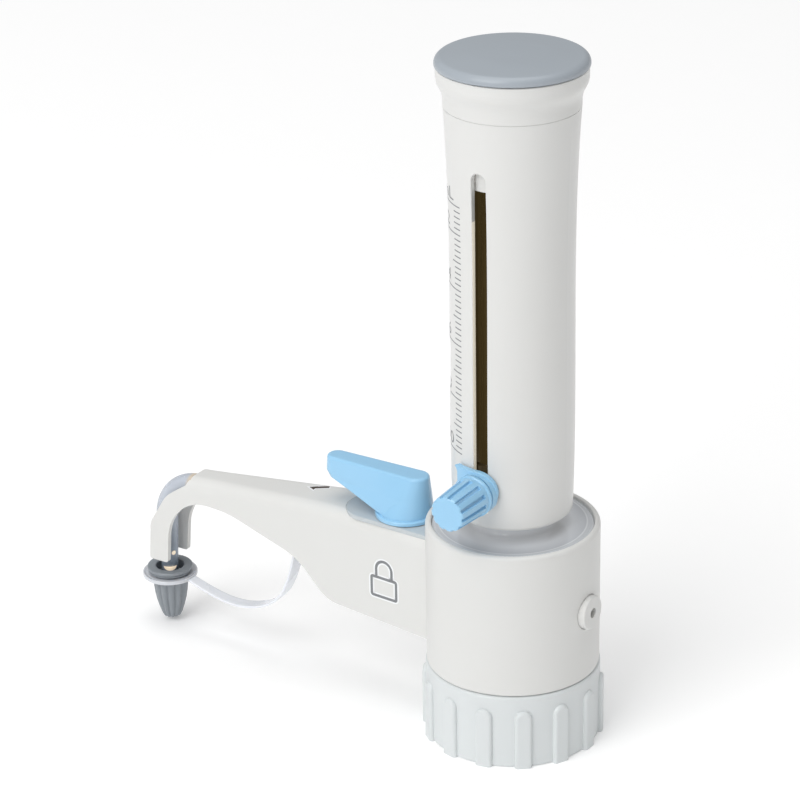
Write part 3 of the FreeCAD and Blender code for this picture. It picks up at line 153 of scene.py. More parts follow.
# Knob: (radius, length from its back) round its axis, and flutes sunk between plain lands
KNOB_PROFILE = ((0, 11.0), (3.2, 11.0), (3.2, 0), (6.95, 0), (7.3, 0.35), (7.3, 1.2),
                (7.0, 1.5), (6.85, 1.6), (6.85, 3.1), (6.85, 3.3), (6.55, 10.0), (6.25, 16.1),
                (6.1, 16.7), (5.75, 17.0), (0, 17.0))
KNOB_STEPS = 180
FLUTE_COUNT = 12
FLUTE_STEPS = 6          # of the 15 steps from flute to flute
FLUTE_START = 3.2
FLUTE_DEPTH = 0.85
FLUTE_RUN_OUT = 16.5     # beyond it the flutes keep only this share of their depth
FLUTE_END_SHARE = 0.4
FLUTE_INNER_R = 5.0      # nearer to the axis nothing is sunk
FLUTE_FIRST = -1.0       # degrees

# Nozzle cap: (radius, height) of its lobed nose, then of its neck, flange and inside
CAP_AXIS_X = -149.5
CAP_NOSE = ((2.6, 1.8), (3.2, 2.05), (3.6, 2.6), (3.95, 3.5), (4.7, 5.7), (5.6, 9.0), (6.1, 12.0),
            (6.4, 15.0), (6.5, 17.3), (6.5, 17.9))
CAP_HEAD = ((6.5, 18.7), (6.35, 18.9), (5.8, 18.9), (5.8, 20.7), (7.9, 20.7), (8.15, 20.9),
            (8.15, 21.35), (7.95, 21.5), (8.2, 21.6), (8.4, 21.8), (8.4, 22.55), (8.15, 22.8),
            (5.45, 22.8), (5.2, 22.55), (5.2, 19.2), (4.0, 19.2), (2.9, 8.7), (0, 8.7))
CAP_STEPS = 144
LOBE_COUNT = 12
LOBE_DEPTH = 0.85
LOBE_FULL_R = 6.0        # where the nose is slimmer, its grooves are shallower
LOBE_TOP = 17.6
LOBE_FIRST = -37.0       # degrees

# Thread turns in the collar's bore
THREAD_ROOT_R = 22.8
THREAD_CREST_R = 21.8
THREAD_LOW = 2.6
THREAD_PITCH = 4.0
THREAD_TURNS = 2.25
THREAD_STEPS_A_TURN = 48

# Painted light and shade on the clear tube: from where to where painted shade darkens it, its tan
# end, a painted highlight, and two painted glints
TUBE_SHADE_Z = (50, 24)
TUBE_TAN_HIGHLIGHT_X = (-137.9, -136.5)
LOW_GLINT = (-147.5, -2.5, 23.2)
LOW_GLINT_R = 2.5
LOW_GLINT_SQUASH = 1.6
LOW_GLINT_EDGE = 0.15    # it is cut off level at its centre
HIGH_GLINT = (-146.4, -1.3, 28.9)
HIGH_GLINT_R = 0.7

# Painted light and shade on the sleeve, the guard and the shoulder ring
# painted shade: nearer to the axis than this the sleeve's bore is dark olive
SHADED_BORE_R = 19.1
SLOT_SIDE = 2.75
SLOT_LOW_Z = 91.3
SLOT_HIGH_Z = 194.2
SLOT_FRONT_Y = (-15, -16)    # only walls before these get the painted light
# painted shade: from where to where the guard darkens towards its top
GUARD_SHADE_Z = (165, 210)
# painted highlight: a bright line round the ring's edge, with a lighter band outside it
DISC_HIGHLIGHT_RADII = (25.1, 25.6)
DISC_HIGHLIGHT_BLUR = 0.15
DISC_LIT_R = 20.5        # inside it the ring glows, painted light that lifts the shade under the sleeve's foot
DISC_LIT_BLUR = 5.0
DISC_EDGE_GLOW_R = 27.0       # outside it the ring's edge glows more, painted light in the shade by the rim
DISC_EDGE_GLOW_BLUR = 0.4

MIX_FACTOR, MIX_FIRST, MIX_SECOND, MIX_RESULT = 0, 6, 7, 2    # a Mix node's colour sockets
BUMP_STRENGTH = 0.5
SHARP_ANGLE = 35.0       # degrees between faces, from which an edge stays sharp


def metres(*millimetres):
    return Vector(millimetres) * MM


# Shader node groups


def empty_group(name, inputs, outputs):
    group = bpy.data.node_groups.new(name, "ShaderNodeTree")
    for label, kind, value in inputs:
        socket = group.interface.new_socket(label, in_out="INPUT", socket_type=kind)
        socket.default_value = value
    for label, kind in outputs:
        group.interface.new_socket(label, in_out="OUTPUT", socket_type=kind)
    return group, group.nodes.new("NodeGroupInput"), group.nodes.new("NodeGroupOutput")


def feed(tree, socket, value):
    """Links a socket to another one, or gives it a plain value."""
    if hasattr(value, "is_linked"):
        tree.links.new(value, socket)
    else:
        socket.default_value = value


def add_noise(tree, place, scale, detail=2.0, roughness=0.5):
    noise = tree.nodes.new("ShaderNodeTexNoise")
    for label, value in (("Vector", place), ("Scale", scale), ("Detail", detail),
                         ("Roughness", roughness)):
        feed(tree, noise.inputs[label], value)
    return noise.outputs["Fac"]


def add_range(tree, value, low, high, out_low, out_high):
    node = tree.nodes.new("ShaderNodeMapRange")
    for label, given in (("Value", value), ("From Min", low), ("From Max", high),
                         ("To Min", out_low), ("To Max", out_high)):
        feed(tree, node.inputs[label], given)
    return node.outputs["Result"]


def add_math(tree, operation, *values):
    node = tree.nodes.new("ShaderNodeMath")
    node.operation = operation
    for socket, value in zip(node.inputs, values):
        feed(tree, socket, value)
    return node.outputs["Value"]


def add_vector_math(tree, operation, *values):
    node = tree.nodes.new("ShaderNodeVectorMath")
    node.operation = operation
    for socket, value in zip(node.inputs, values):
        feed(tree, socket, value)
    return node.outputs["Value" if operation in ("DOT_PRODUCT", "LENGTH") else "Vector"]


def add_mix(tree, factor, first, second):
    """Mix of two colours."""
    node = tree.nodes.new("ShaderNodeMix")
    node.data_type = "RGBA"
    for index, value in ((MIX_FACTOR, factor), (MIX_FIRST, first), (MIX_SECOND, second)):
        feed(tree, node.inputs[index], value)
    return node.outputs[MIX_RESULT]


def object_place(tree):
    return tree.nodes.new("ShaderNodeTexCoord").outputs["Object"]


def make_tone_drift():
    """Slow and fine changes of tone, as in pigmented mouldings."""
    group, given, result = empty_group(
        "tone_drift",
        [("Colour", "NodeSocketColor", (0.8, 0.8, 0.8, 1)),
         ("Second Colour", "NodeSocketColor", (0.7, 0.7, 0.7, 1)),
         ("Amount", "NodeSocketFloat", 0.3), ("Cloud Scale", "NodeSocketFloat", 35.0)],
        [("Colour", "NodeSocketColor")])
    place = object_place(group)
    clouds = add_noise(group, place, given.outputs["Cloud Scale"], 3.0)
    specks = add_noise(group, place, 1400.0, 1.0)
    cloud_mask = add_range(group, clouds, 0.35, 0.7, 0.0, 1.0)
    speck_mask = add_range(group, specks, 0.62, 0.8, 0.0, 0.5)
    mask = add_math(group, "MAXIMUM", cloud_mask, speck_mask)
    mask = add_math(group, "MULTIPLY", mask, given.outputs["Amount"])
    colour = add_mix(group, mask, given.outputs["Colour"], given.outputs["Second Colour"])
    group.links.new(colour, result.inputs["Colour"])
    return group


def make_mould_grain():
    """Height of a spark-eroded mould's grain with a slight sink and swell."""
    group, given, result = empty_group(
        "mould_grain",
        [("Grain Scale", "NodeSocketFloat", 2600.0), ("Swell", "NodeSocketFloat", 0.3)],
        [("Height", "NodeSocketFloat")])
    place = object_place(group)
    grain = add_noise(group, place, given.outputs["Grain Scale"], 3.0, 0.6)
    swell = add_noise(group, place, 60.0, 1.0)
    swell = add_math(group, "MULTIPLY", swell, given.outputs["Swell"])
    group.links.new(add_math(group, "ADD", grain, swell), result.inputs["Height"])
    return group


def make_handled_gloss():
    """Roughness with faint smudges and hairline scuffs from cleaning."""
    group, given, result = empty_group(
        "handled_gloss",
        [("Roughness", "NodeSocketFloat", 0.35), ("Smudge", "NodeSocketFloat", 0.08),
         ("Scuff", "NodeSocketFloat", 0.06)],
        [("Roughness", "NodeSocketFloat")])
    place = object_place(group)
    smudge = add_range(group, add_noise(group, place, 55.0, 4.0), 0.42, 0.68, 0.0, 1.0)
    smudge = add_math(group, "MULTIPLY", smudge, given.outputs["Smudge"])
    stretch = group.nodes.new("ShaderNodeMapping")
    stretch.inputs["Rotation"].default_value = (0.4, 0.3, 0.8)
    stretch.inputs["Scale"].default_value = (1.0, 14.0, 22.0)
    group.links.new(place, stretch.inputs["Vector"])
    lines = add_noise(group, stretch.outputs["Vector"], 90.0, 2.0)
    scuff = add_range(group, lines, 0.66, 0.74, 0.0, 1.0)
    scuff = add_math(group, "MULTIPLY", scuff, given.outputs["Scuff"])
    total = add_math(group, "ADD", given.outputs["Roughness"], smudge)
    group.links.new(add_math(group, "ADD", total, scuff), result.inputs["Roughness"])
    return group


def make_turned_rings():
    """Height of the fine rings that a lathe leaves round a Z axis."""
    group, given, result = empty_group(
        "turned_rings", [("Ring Scale", "NodeSocketFloat", 1500.0)],
        [("Height", "NodeSocketFloat")])
    place = object_place(group)
    waves = group.nodes.new("ShaderNodeTexWave")
    waves.bands_direction = "Z"
    waves.inputs["Distortion"].default_value = 0.6
    waves.inputs["Detail"].default_value = 1.0
    group.links.new(place, waves.inputs["Vector"])
    group.links.new(given.outputs["Ring Scale"], waves.inputs["Scale"])
    group.links.new(waves.outputs["Fac"], result.inputs["Height"])
    return group


def make_axis_fade():
    """Mask from 0 to 1 between two places along one axis of the object."""
    group, given, result = empty_group(
        "axis_fade",
        [("Axis", "NodeSocketVector", (0, 0, 1)), ("Start", "NodeSocketFloat", 0.0),
         ("End", "NodeSocketFloat", 1.0)],
        [("Mask", "NodeSocketFloat")])
    along = add_vector_math(group, "DOT_PRODUCT", object_place(group), given.outputs["Axis"])
    mask = add_range(group, along, given.outputs["Start"], given.outputs["End"], 0.0, 1.0)
    group.links.new(mask, result.inputs["Mask"])
    return group


def mask_within(group, given, result, offset):
    """Puts out 1 where an offset is shorter than Radius, with a soft edge outside it."""
    end = add_math(group, "ADD", given.outputs["Radius"], given.outputs["Blur"])
    length = add_vector_math(group, "LENGTH", offset)
    mask = add_range(group, length, given.outputs["Radius"], end, 1.0, 0.0)
    group.links.new(mask, result.inputs["Mask"])


def make_bore_mask():
    """Mask of what lies nearer to the Z axis than a radius, with a soft edge outside it."""
    group, given, result = empty_group(
        "bore_mask",
        [("Radius", "NodeSocketFloat", 0.02), ("Blur", "NodeSocketFloat", 0.001 * MM)],
        [("Mask", "NodeSocketFloat")])
    flat = add_vector_math(group, "MULTIPLY", object_place(group), (1, 1, 0))
    mask_within(group, given, result, flat)
    return group


def make_spot_mask():
    """Mask of a round or stretched spot about a place on the object."""
    group, given, result = empty_group(
        "spot_mask",
        [("Centre", "NodeSocketVector", (0, 0, 0)), ("Stretch", "NodeSocketVector", (1, 1, 1)),
         ("Radius", "NodeSocketFloat", 1.0 * MM), ("Blur", "NodeSocketFloat", 0.3 * MM)],
        [("Mask", "NodeSocketFloat")])
    away = add_vector_math(group, "SUBTRACT", object_place(group), given.outputs["Centre"])
    away = add_vector_math(group, "MULTIPLY", away, given.outputs["Stretch"])
    mask_within(group, given, result, away)
    return group


TONE_DRIFT = make_tone_drift()
MOULD_GRAIN = make_mould_grain()
HANDLED_GLOSS = make_handled_gloss()
TURNED_RINGS = make_turned_rings()
AXIS_FADE = make_axis_fade()
BORE_MASK = make_bore_mask()
SPOT_MASK = make_spot_mask()


# Materials


def set_sockets(node, **values):
    """Plain values for a node's inputs, with underscores for the spaces of their names."""
    for label, value in values.items():
        node.inputs[label.replace("_", " ")].default_value = value


def place_group(tree, group, **values):
    node = tree.nodes.new("ShaderNodeGroup")
    node.node_tree = group
    set_sockets(node, **values)
    return node


def opaque(colour):
    return (*colour, 1.0)


def tree_and_shader(material):
    return material.node_tree, material.node_tree.nodes["Principled BSDF"]


def handled_material(name, colour, second, amount, roughness, smudge, scuff):
    """Material with drifting tone and handling marks."""
    material = bpy.data.materials.new(name)
    material.use_nodes = True
    tree, shader = tree_and_shader(material)
    tone = place_group(tree, TONE_DRIFT, Colour=opaque(colour), Second_Colour=opaque(second),
                       Amount=amount)
    gloss = place_group(tree, HANDLED_GLOSS, Roughness=roughness, Smudge=smudge, Scuff=scuff)
    tree.links.new(tone.outputs["Colour"], shader.inputs["Base Color"])
    tree.links.new(gloss.outputs["Roughness"], shader.inputs["Roughness"])
    return material


def add_relief(material, group, depth, **values):
    """Bumps the surface by a group's height."""
    tree, shader = tree_and_shader(material)
    bump = tree.nodes.new("ShaderNodeBump")
    set_sockets(bump, Strength=BUMP_STRENGTH, Distance=depth)
    relief = place_group(tree, group, **values)
    tree.links.new(relief.outputs["Height"], bump.inputs["Height"])
    tree.links.new(bump.outputs["Normal"], shader.inputs["Normal"])


def moulded_plastic(name, colour, second, roughness=0.35, amount=0.25, grain=2600.0,
                    depth=0.02 * MM, soft=0.0, coat=0.0):
    """Pigmented plastic with mould grain."""
    material = handled_material(name, colour, second, amount, roughness, smudge=0.06, scuff=0.05)
    add_relief(material, MOULD_GRAIN, depth, Grain_Scale=grain)
    shader = tree_and_shader(material)[1]
    set_sockets(shader, IOR=1.49, Subsurface_Weight=soft, Subsurface_Radius=(1.0, 0.9, 0.8),
                Subsurface_Scale=1.5 * MM, Coat_Weight=coat, Coat_Roughness=0.12)
    return material


def clear_plastic(name, colour, second, roughness, transmission, ior, amount=0.3, smudge=0.04,
                  scuff=0.03):
    """See-through plastic or glass with a faint haze."""
    material = handled_material(name, colour, second, amount, roughness, smudge, scuff)
    add_relief(material, MOULD_GRAIN, 0.01 * MM, Grain_Scale=900.0)
    shader = tree_and_shader(material)[1]
    set_sockets(shader, Transmission_Weight=transmission, IOR=ior)
    return material


def turned_metal(name, colour, second):
    """Bare metal with lathe rings and a slightly stained tone."""
    material = handled_material(name, colour, second, amount=0.5, roughness=0.3, smudge=0.1,
                                scuff=0.1)
    add_relief(material, TURNED_RINGS, 0.01 * MM)
    set_sockets(tree_and_shader(material)[1], Metallic=1.0)
    return material


def fade_along(tree, axis, start, end):
    return place_group(tree, AXIS_FADE, Axis=axis, Start=start * MM, End=end * MM).outputs["Mask"]


def band_along(tree, axis, low, high, blur):
    """Mask of a soft band between two places along an axis."""
    rise = fade_along(tree, axis, low - blur, low)
    fall = fade_along(tree, axis, high + blur, high)
    return add_math(tree, "MULTIPLY", rise, fall)


def within_radius(tree, radius, **values):
    return place_group(tree, BORE_MASK, Radius=radius * MM, **values).outputs["Mask"]


def recolour(tree, shader, mask, colour):
    """Lays a colour over the shader's base colour where the mask is 1."""
    given = shader.inputs["Base Color"].links[0].from_socket
    tree.links.new(add_mix(tree, mask, given, opaque(colour)), shader.inputs["Base Color"])


def light_up(tree, shader, colour, strength=1.0):
    """Faint glow of emission. On a part it is painted light, standing in for light that comes
    through the material and light thrown back on it; the floor glows evenly.
    """
    feed(tree, shader.inputs["Emission Color"], colour)
    shader.inputs["Emission Strength"].default_value = strength


def amber_plastic():
    """Dark amber guard: olive brown, lighter towards its foot, as painted shade darkens its upper
    part; a painted glow lifts it all.
    """
    material = moulded_plastic("amber_plastic", (0.115, 0.082, 0.036), (0.09, 0.064, 0.026),
                               roughness=0.12, coat=0.4, depth=0.005 * MM)
    tree, shader = tree_and_shader(material)
    # painted shade, darker towards the guard's top
    recolour(tree, shader, fade_along(tree, (0, 0, 1), *GUARD_SHADE_Z), (0.045, 0.03, 0.012))
    # painted glow that lifts the guard's shade in the slot
    light_up(tree, shader, (0.040, 0.028, 0.0095, 1), 0.75)
    return material


def sleeve_plastic():
    """White moulding with painted light and shade: the slot's walls painted light beige with a
    glow, its bore painted dark olive as shade behind the guard.
    """
    material = moulded_plastic("white_sleeve_moulding", (0.72, 0.72, 0.705),
                               (0.69, 0.69, 0.67), roughness=0.28, soft=0.05)
    tree, shader = tree_and_shader(material)
    inside = within_radius(tree, SHADED_BORE_R)
    walls = band_along(tree, (1, 0, 0), -SLOT_SIDE, SLOT_SIDE, 0.02)
    slot = band_along(tree, (0, 0, 1), SLOT_LOW_Z, SLOT_HIGH_Z, 0.1)
    walls = add_math(tree, "MULTIPLY", walls, slot)
    walls = add_math(tree, "MULTIPLY", walls, fade_along(tree, (0, 1, 0), *SLOT_FRONT_Y))
    # painted light: the slot's shaded walls are recoloured light beige
    recolour(tree, shader, walls, (0.80, 0.77, 0.69))
    # painted shade: the white bore is recoloured dark olive
    recolour(tree, shader, inside, (0.10, 0.075, 0.035))
    # painted glow: beige light on the slot's walls, a faint olive one in the bore
    glow = add_mix(tree, walls, (0, 0, 0, 1), (0.34, 0.31, 0.25, 1))
    light_up(tree, shader, add_mix(tree, inside, glow, (0.032, 0.022, 0.008, 1)), 0.8)
    return material


def disc_plastic():
    """Glossy grey disc with painted light: a painted highlight line round its edge, a lighter
    edge band outside it and a painted glow that lifts its shade.
    """
    material = moulded_plastic("grey_disc_moulding", (0.45, 0.47, 0.50),
                               (0.42, 0.44, 0.47), roughness=0.12, coat=0.6)
    tree, shader = tree_and_shader(material)
    # painted highlight line and lighter edge band
    for radius, colour in zip(DISC_HIGHLIGHT_RADII, ((0.62, 0.64, 0.66), (0.50, 0.52, 0.545))):
        inside = within_radius(tree, radius, Blur=DISC_HIGHLIGHT_BLUR * MM)
        recolour(tree, shader, add_math(tree, "SUBTRACT", 1.0, inside), colour)
    # painted light that lifts the shade under the sleeve
    lit = within_radius(tree, DISC_LIT_R, Blur=DISC_LIT_BLUR * MM)
    body = within_radius(tree, DISC_EDGE_GLOW_R, Blur=DISC_EDGE_GLOW_BLUR * MM)
    # painted glow: more at the ring's edge, most under the sleeve's foot
    glow = add_mix(tree, body, (0.16, 0.165, 0.17, 1), (0.04, 0.042, 0.045, 1))
    light_up(tree, shader, add_mix(tree, lit, glow, (0.20, 0.205, 0.21, 1)))
    return material


def foot_plastic():
    """Slider's foot, which the slot shows in front of the guard, painted dark brown: painted
    shade, as dark as the slot around it.
    """
    # painted shade: dark brown in place of the foot's own colour
    return moulded_plastic("dark_foot_painted_shade", (0.07, 0.052, 0.026), (0.055, 0.04, 0.02),
                           roughness=0.3)


def ring_plastic():
    """Clouded, see-through plastic of the ring, greyed by the cap behind it."""
    return moulded_plastic("clouded_ring_plastic", (0.66, 0.68, 0.72), (0.60, 0.62, 0.66),
                           roughness=0.16, amount=0.4, soft=0.2, grain=900.0, depth=0.01 * MM,
                           coat=0.5)


def tube_plastic():
    """Milky fluoropolymer: pale on the bend, with painted shade that makes it darker and bluer
    down the drop, a tan end painted as a highlight and tan painted glints that glow.
    """
    material = clear_plastic("milky_tube_plastic", (0.70, 0.745, 0.82), (0.62, 0.67, 0.76),
                             roughness=0.22, transmission=0.35, ior=1.35, amount=0.4,
                             smudge=0.05, scuff=0.04)
    tree, shader = tree_and_shader(material)
    tan = (0.86, 0.74, 0.59)
    # painted shade, darker and bluer down the drop
    recolour(tree, shader, fade_along(tree, (0, 0, 1), *TUBE_SHADE_Z), (0.30, 0.36, 0.44))
    # painted highlight: the tube's end towards the window is tan
    recolour(tree, shader, fade_along(tree, (1, 0, 0), *TUBE_TAN_HIGHLIGHT_X), tan)
    # painted glints: two tan painted highlights
    low = place_group(tree, SPOT_MASK, Centre=metres(*LOW_GLINT),
                      Stretch=(1, 1, LOW_GLINT_SQUASH), Radius=LOW_GLINT_R * MM).outputs["Mask"]
    below = fade_along(tree, (0, 0, 1), LOW_GLINT[2] + LOW_GLINT_EDGE, LOW_GLINT[2])
    low = add_math(tree, "MULTIPLY", low, below)
    high = place_group(tree, SPOT_MASK, Centre=metres(*HIGH_GLINT),
                       Radius=HIGH_GLINT_R * MM).outputs["Mask"]
    glints = add_math(tree, "MAXIMUM", low, high)
    recolour(tree, shader, glints, tan)
    # painted glow of the glints
    light_up(tree, shader, add_mix(tree, glints, (0, 0, 0, 1), (0.52, 0.43, 0.32, 1)))
    return material


def frosted_plastic():
    """Soft translucent plastic of the tether: bluish white, lightly clouded, with a painted glow.
    """
    material = moulded_plastic("frosted_tether_plastic", (0.74, 0.76, 0.80),
                               (0.69, 0.715, 0.765), roughness=0.24, amount=0.4, soft=0.2,
                               grain=900.0, depth=0.01 * MM, coat=0.3)
    # painted glow, standing in for light that comes through the strap
    light_up(*tree_and_shader(material), (0.10, 0.105, 0.115, 1))
    return material


FINISHES = {
    "warm_white": moulded_plastic("warm_white_moulding", (0.715, 0.716, 0.70),
                                  (0.685, 0.682, 0.66), roughness=0.36, soft=0.05),
    "sleeve_white": moulded_plastic("white_moulding", (0.72, 0.72, 0.705),
                                    (0.69, 0.69, 0.67), roughness=0.28, soft=0.05),
    "collar_white": moulded_plastic("collar_white_moulding", (0.69, 0.72, 0.725),
                                    (0.655, 0.685, 0.69), roughness=0.4, soft=0.05),
    "cap_grey": moulded_plastic("cap_grey_moulding", (0.37, 0.41, 0.45), (0.34, 0.375, 0.415),
                                roughness=0.3),
    "saddle_grey": moulded_plastic("saddle_grey_moulding", (0.52, 0.56, 0.58),
                                   (0.485, 0.525, 0.545), roughness=0.14, coat=0.5),
    "light_blue": moulded_plastic("light_blue_moulding", (0.32, 0.595, 0.83),
                                  (0.28, 0.54, 0.78), roughness=0.3, soft=0.06, coat=0.25),
    "valve_white": moulded_plastic("fluoropolymer_white", (0.78, 0.78, 0.77),
                                   (0.74, 0.74, 0.725), roughness=0.42, soft=0.1),
    "rod_grey": moulded_plastic("rod_grey_plastic", (0.55, 0.55, 0.55), (0.48, 0.48, 0.48),
                                roughness=0.3),
    "seal_rubber": moulded_plastic("seal_elastomer", (0.03, 0.03, 0.032), (0.05, 0.05, 0.05),
                                   roughness=0.55, grain=1800.0),
    "ball_ceramic": moulded_plastic("polished_ceramic", (0.83, 0.82, 0.79), (0.79, 0.78, 0.74),
                                    roughness=0.08, depth=0.002 * MM),
    "nozzle_grey": moulded_plastic("nozzle_grey_moulding", (0.26, 0.285, 0.31),
                                   (0.225, 0.245, 0.265), roughness=0.34),
    "filter_felt": moulded_plastic("sintered_filter", (0.72, 0.71, 0.68), (0.5, 0.49, 0.46),
                                   roughness=0.85, amount=0.6, grain=1500.0, depth=0.2 * MM),
    "amber_guard": amber_plastic(),
    "barrel_glass": clear_plastic("barrel_glass", (0.93, 0.96, 0.95), (0.9, 0.94, 0.93),
                                  roughness=0.02, transmission=1.0, ior=1.47),
    "clear_tube": tube_plastic(),
    "strap_clear": frosted_plastic(),
    "steel": turned_metal("stainless_steel", (0.58, 0.57, 0.55), (0.45, 0.44, 0.43)),
    "brass": turned_metal("turned_brass", (0.72, 0.52, 0.24), (0.55, 0.38, 0.16)),
}
OWN_FINISHES = {"sleeve": sleeve_plastic(), "shoulder_ring": disc_plastic(),
                "slider_foot": foot_plastic(), "tether_ring": ring_plastic()}
PRINT_GREY = moulded_plastic("grey_ink", (0.20, 0.21, 0.22), (0.26, 0.27, 0.28), roughness=0.5,
                             grain=4000.0, depth=0.005 * MM)
PRINT_BROWN = moulded_plastic("dark_brown_ink", (0.065, 0.05, 0.042), (0.10, 0.08, 0.065),
                              roughness=0.5, grain=4000.0, depth=0.005 * MM)
PRINT_WHITE = moulded_plastic("white_ink", (0.86, 0.87, 0.88), (0.83, 0.84, 0.85), roughness=0.5,
                              grain=4000.0, depth=0.005 * MM)


def finish_cad_nodes():
    for part in frame["record"]["subparts"]:
        finish = OWN_FINISHES.get(part["node"], FINISHES[part["material_slot"]])
        mesh = NODES[part["node"]].data
        mesh.materials.clear()
        mesh.materials.append(finish)


# Helpers for new pieces


def piece_from(bm, name, material, body):
    """Object at the origin with the bmesh's shape, which moves with a body."""
    bmesh.ops.remove_doubles(bm, verts=bm.verts, dist=0.0005 * MM)
    bmesh.ops.recalc_face_normals(bm, faces=bm.faces)
    mesh = bpy.data.meshes.new(name)
    bm.to_mesh(mesh)
    bm.free()
    piece = bpy.data.objects.new(name, mesh)
    bpy.context.scene.collection.objects.link(piece)
    mesh.materials.append(material)
    if body:
        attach(piece, body)
    return piece


def cad_surface(name):
    """Search tree of a CAD node's surface."""
    bm = bmesh.new()
    bm.from_mesh(NODES[name].data)
    tree = BVHTree.FromBMesh(bm)
    bm.free()
    return tree


def add_rectangle(bm, left, right, low, high):
    """Flat rectangle in the XZ plane."""
    made = bmesh.ops.create_grid(bm, x_segments=1, y_segments=1, size=0.5)
    size = Matrix.Diagonal((right - left, high - low, 1, 1))
    centre = Matrix.Translation(((left + right) / 2, 0, (low + high) / 2))
    bmesh.ops.transform(bm, matrix=centre @ UPRIGHT @ size, verts=made["verts"])
    return made["verts"]


def add_text(bm, words, x, z):
    """Flat lettering in the XZ plane, centred on x, that stands on z."""
    curve = bpy.data.curves.new("lettering", "FONT")
    curve.body = words
    curve.size = NUMERAL_HEIGHT / CAPITAL_SHARE
    curve.align_x = "CENTER"
    shape = bpy.data.objects.new("lettering", curve)
    mesh = bpy.data.meshes.new_from_object(shape)
    before = set(bm.verts)
    bm.from_mesh(mesh)
    made = [v for v in bm.verts if v not in before]
    size = Matrix.Diagonal((NUMERAL_STRETCH, 1, 1, 1))
    place = Matrix.Translation((x, 0, z))
    bmesh.ops.transform(bm, matrix=place @ UPRIGHT @ size, verts=made)
    bpy.data.objects.remove(shape)
    bpy.data.meshes.remove(mesh)


def lay_on(bm, surface, direction, film):
    """Moves every vertex along a direction to a film's height over a surface."""
    toward = Vector(direction)
    for vertex in bm.verts:
        hit = surface.ray_cast(vertex.co - toward, toward)[0]
        vertex.co = hit - toward * film * MM


def ink_and_halo(name, draw, ink, surface, direction):
    """A printed sign that rides on the housing, over a slightly wider white one."""
    for label, grow, film, material in (("halo", HALO, PRINT_FILM / 2, PRINT_WHITE),
                                        ("ink", 0.0, PRINT_FILM, ink)):
        bm = bmesh.new()
        draw(bm, grow)
        bmesh.ops.scale(bm, vec=(MM, MM, MM), verts=bm.verts)
        lay_on(bm, surface, direction, film)
        piece = piece_from(bm, name + "_" + label, material, "housing")


# Printed volume scale on the sleeve


def scale_height(volume):
    share = (volume - SCALE_LOW_VOLUME) / (SCALE_HIGH_VOLUME - SCALE_LOW_VOLUME)
    return SCALE_LOW_Z + (SCALE_HIGH_Z - SCALE_LOW_Z) * share


def roll_on_sleeve(bm):
    """Rolls a flat print, whose x is arc length from -Y, on the sleeve's surface."""
    radius = PRINT_R * MM
    sleeve = cad_surface("sleeve")
    for vertex in bm.verts:
        angle = vertex.co.x / radius - math.pi / 2
        outward = Vector((math.cos(angle), math.sin(angle), 0))
        start = outward * 2 * radius + Vector((0, 0, vertex.co.z))
        hit = sleeve.ray_cast(start, -outward)[0]
        vertex.co = hit + outward * PRINT_FILM * MM


def arc(degrees):
    """Arc length on the sleeve from its front, which is negative towards the arm."""
    return -math.radians(degrees) * PRINT_R


def make_volume_scale():
    """Marks every 0.2 mL, longer ones at whole and at even volumes, which are numbered."""
    bm = bmesh.new()
    count = round((SCALE_HIGH_VOLUME - SCALE_LOW_VOLUME) / SCALE_STEP)
    for index in range(count + 1):
        volume = SCALE_LOW_VOLUME + index * SCALE_STEP
        z = scale_height(volume)
        whole = abs(volume - round(volume)) < SCALE_STEP / 2
        even = whole and round(volume) % 2 == 0
        length = TICK_LONG if even or index == 0 else TICK_ODD if whole else TICK_SHORT
        right = arc(SCALE_RIGHT_ANGLE)
        add_rectangle(bm, right - length, right, z - TICK_WIDTH / 2, z + TICK_WIDTH / 2)
        if even:
            add_text(bm, str(round(volume)), arc(NUMERAL_ANGLE), z + NUMERAL_LIFT)
    add_text(bm, "mL", arc(UNIT_ANGLE), SCALE_LOW_Z + NUMERAL_LIFT)
    long_edges = [e for e in bm.edges if e.calc_length() > PRINT_LONG_EDGE]
    bmesh.ops.subdivide_edges(bm, edges=long_edges, cuts=PRINT_CUTS)
    bmesh.ops.triangulate(bm, faces=bm.faces)
    bmesh.ops.scale(bm, vec=(MM, MM, MM), verts=bm.verts)
    roll_on_sleeve(bm)
    piece = piece_from(bm, "volume_scale_print", PRINT_GREY, "piston_sleeve")


# Signs on the arm


def add_ring(bm, centre_x, centre_z, outer, line):
    """Flat ring in the XZ plane."""
    before = set(bm.faces)
    made = bmesh.ops.create_circle(bm, cap_ends=True, segments=48, radius=outer)
    place = Matrix.Translation((centre_x, 0, centre_z))
    bmesh.ops.transform(bm, matrix=place @ UPRIGHT, verts=made["verts"])
    hollow_out(bm, [f for f in bm.faces if f not in before], line)


def hollow_out(bm, faces, line):
    bmesh.ops.inset_region(bm, faces=faces, thickness=line, use_boundary=True,
                           use_even_offset=True)
    bmesh.ops.delete(bm, geom=faces, context="FACES")


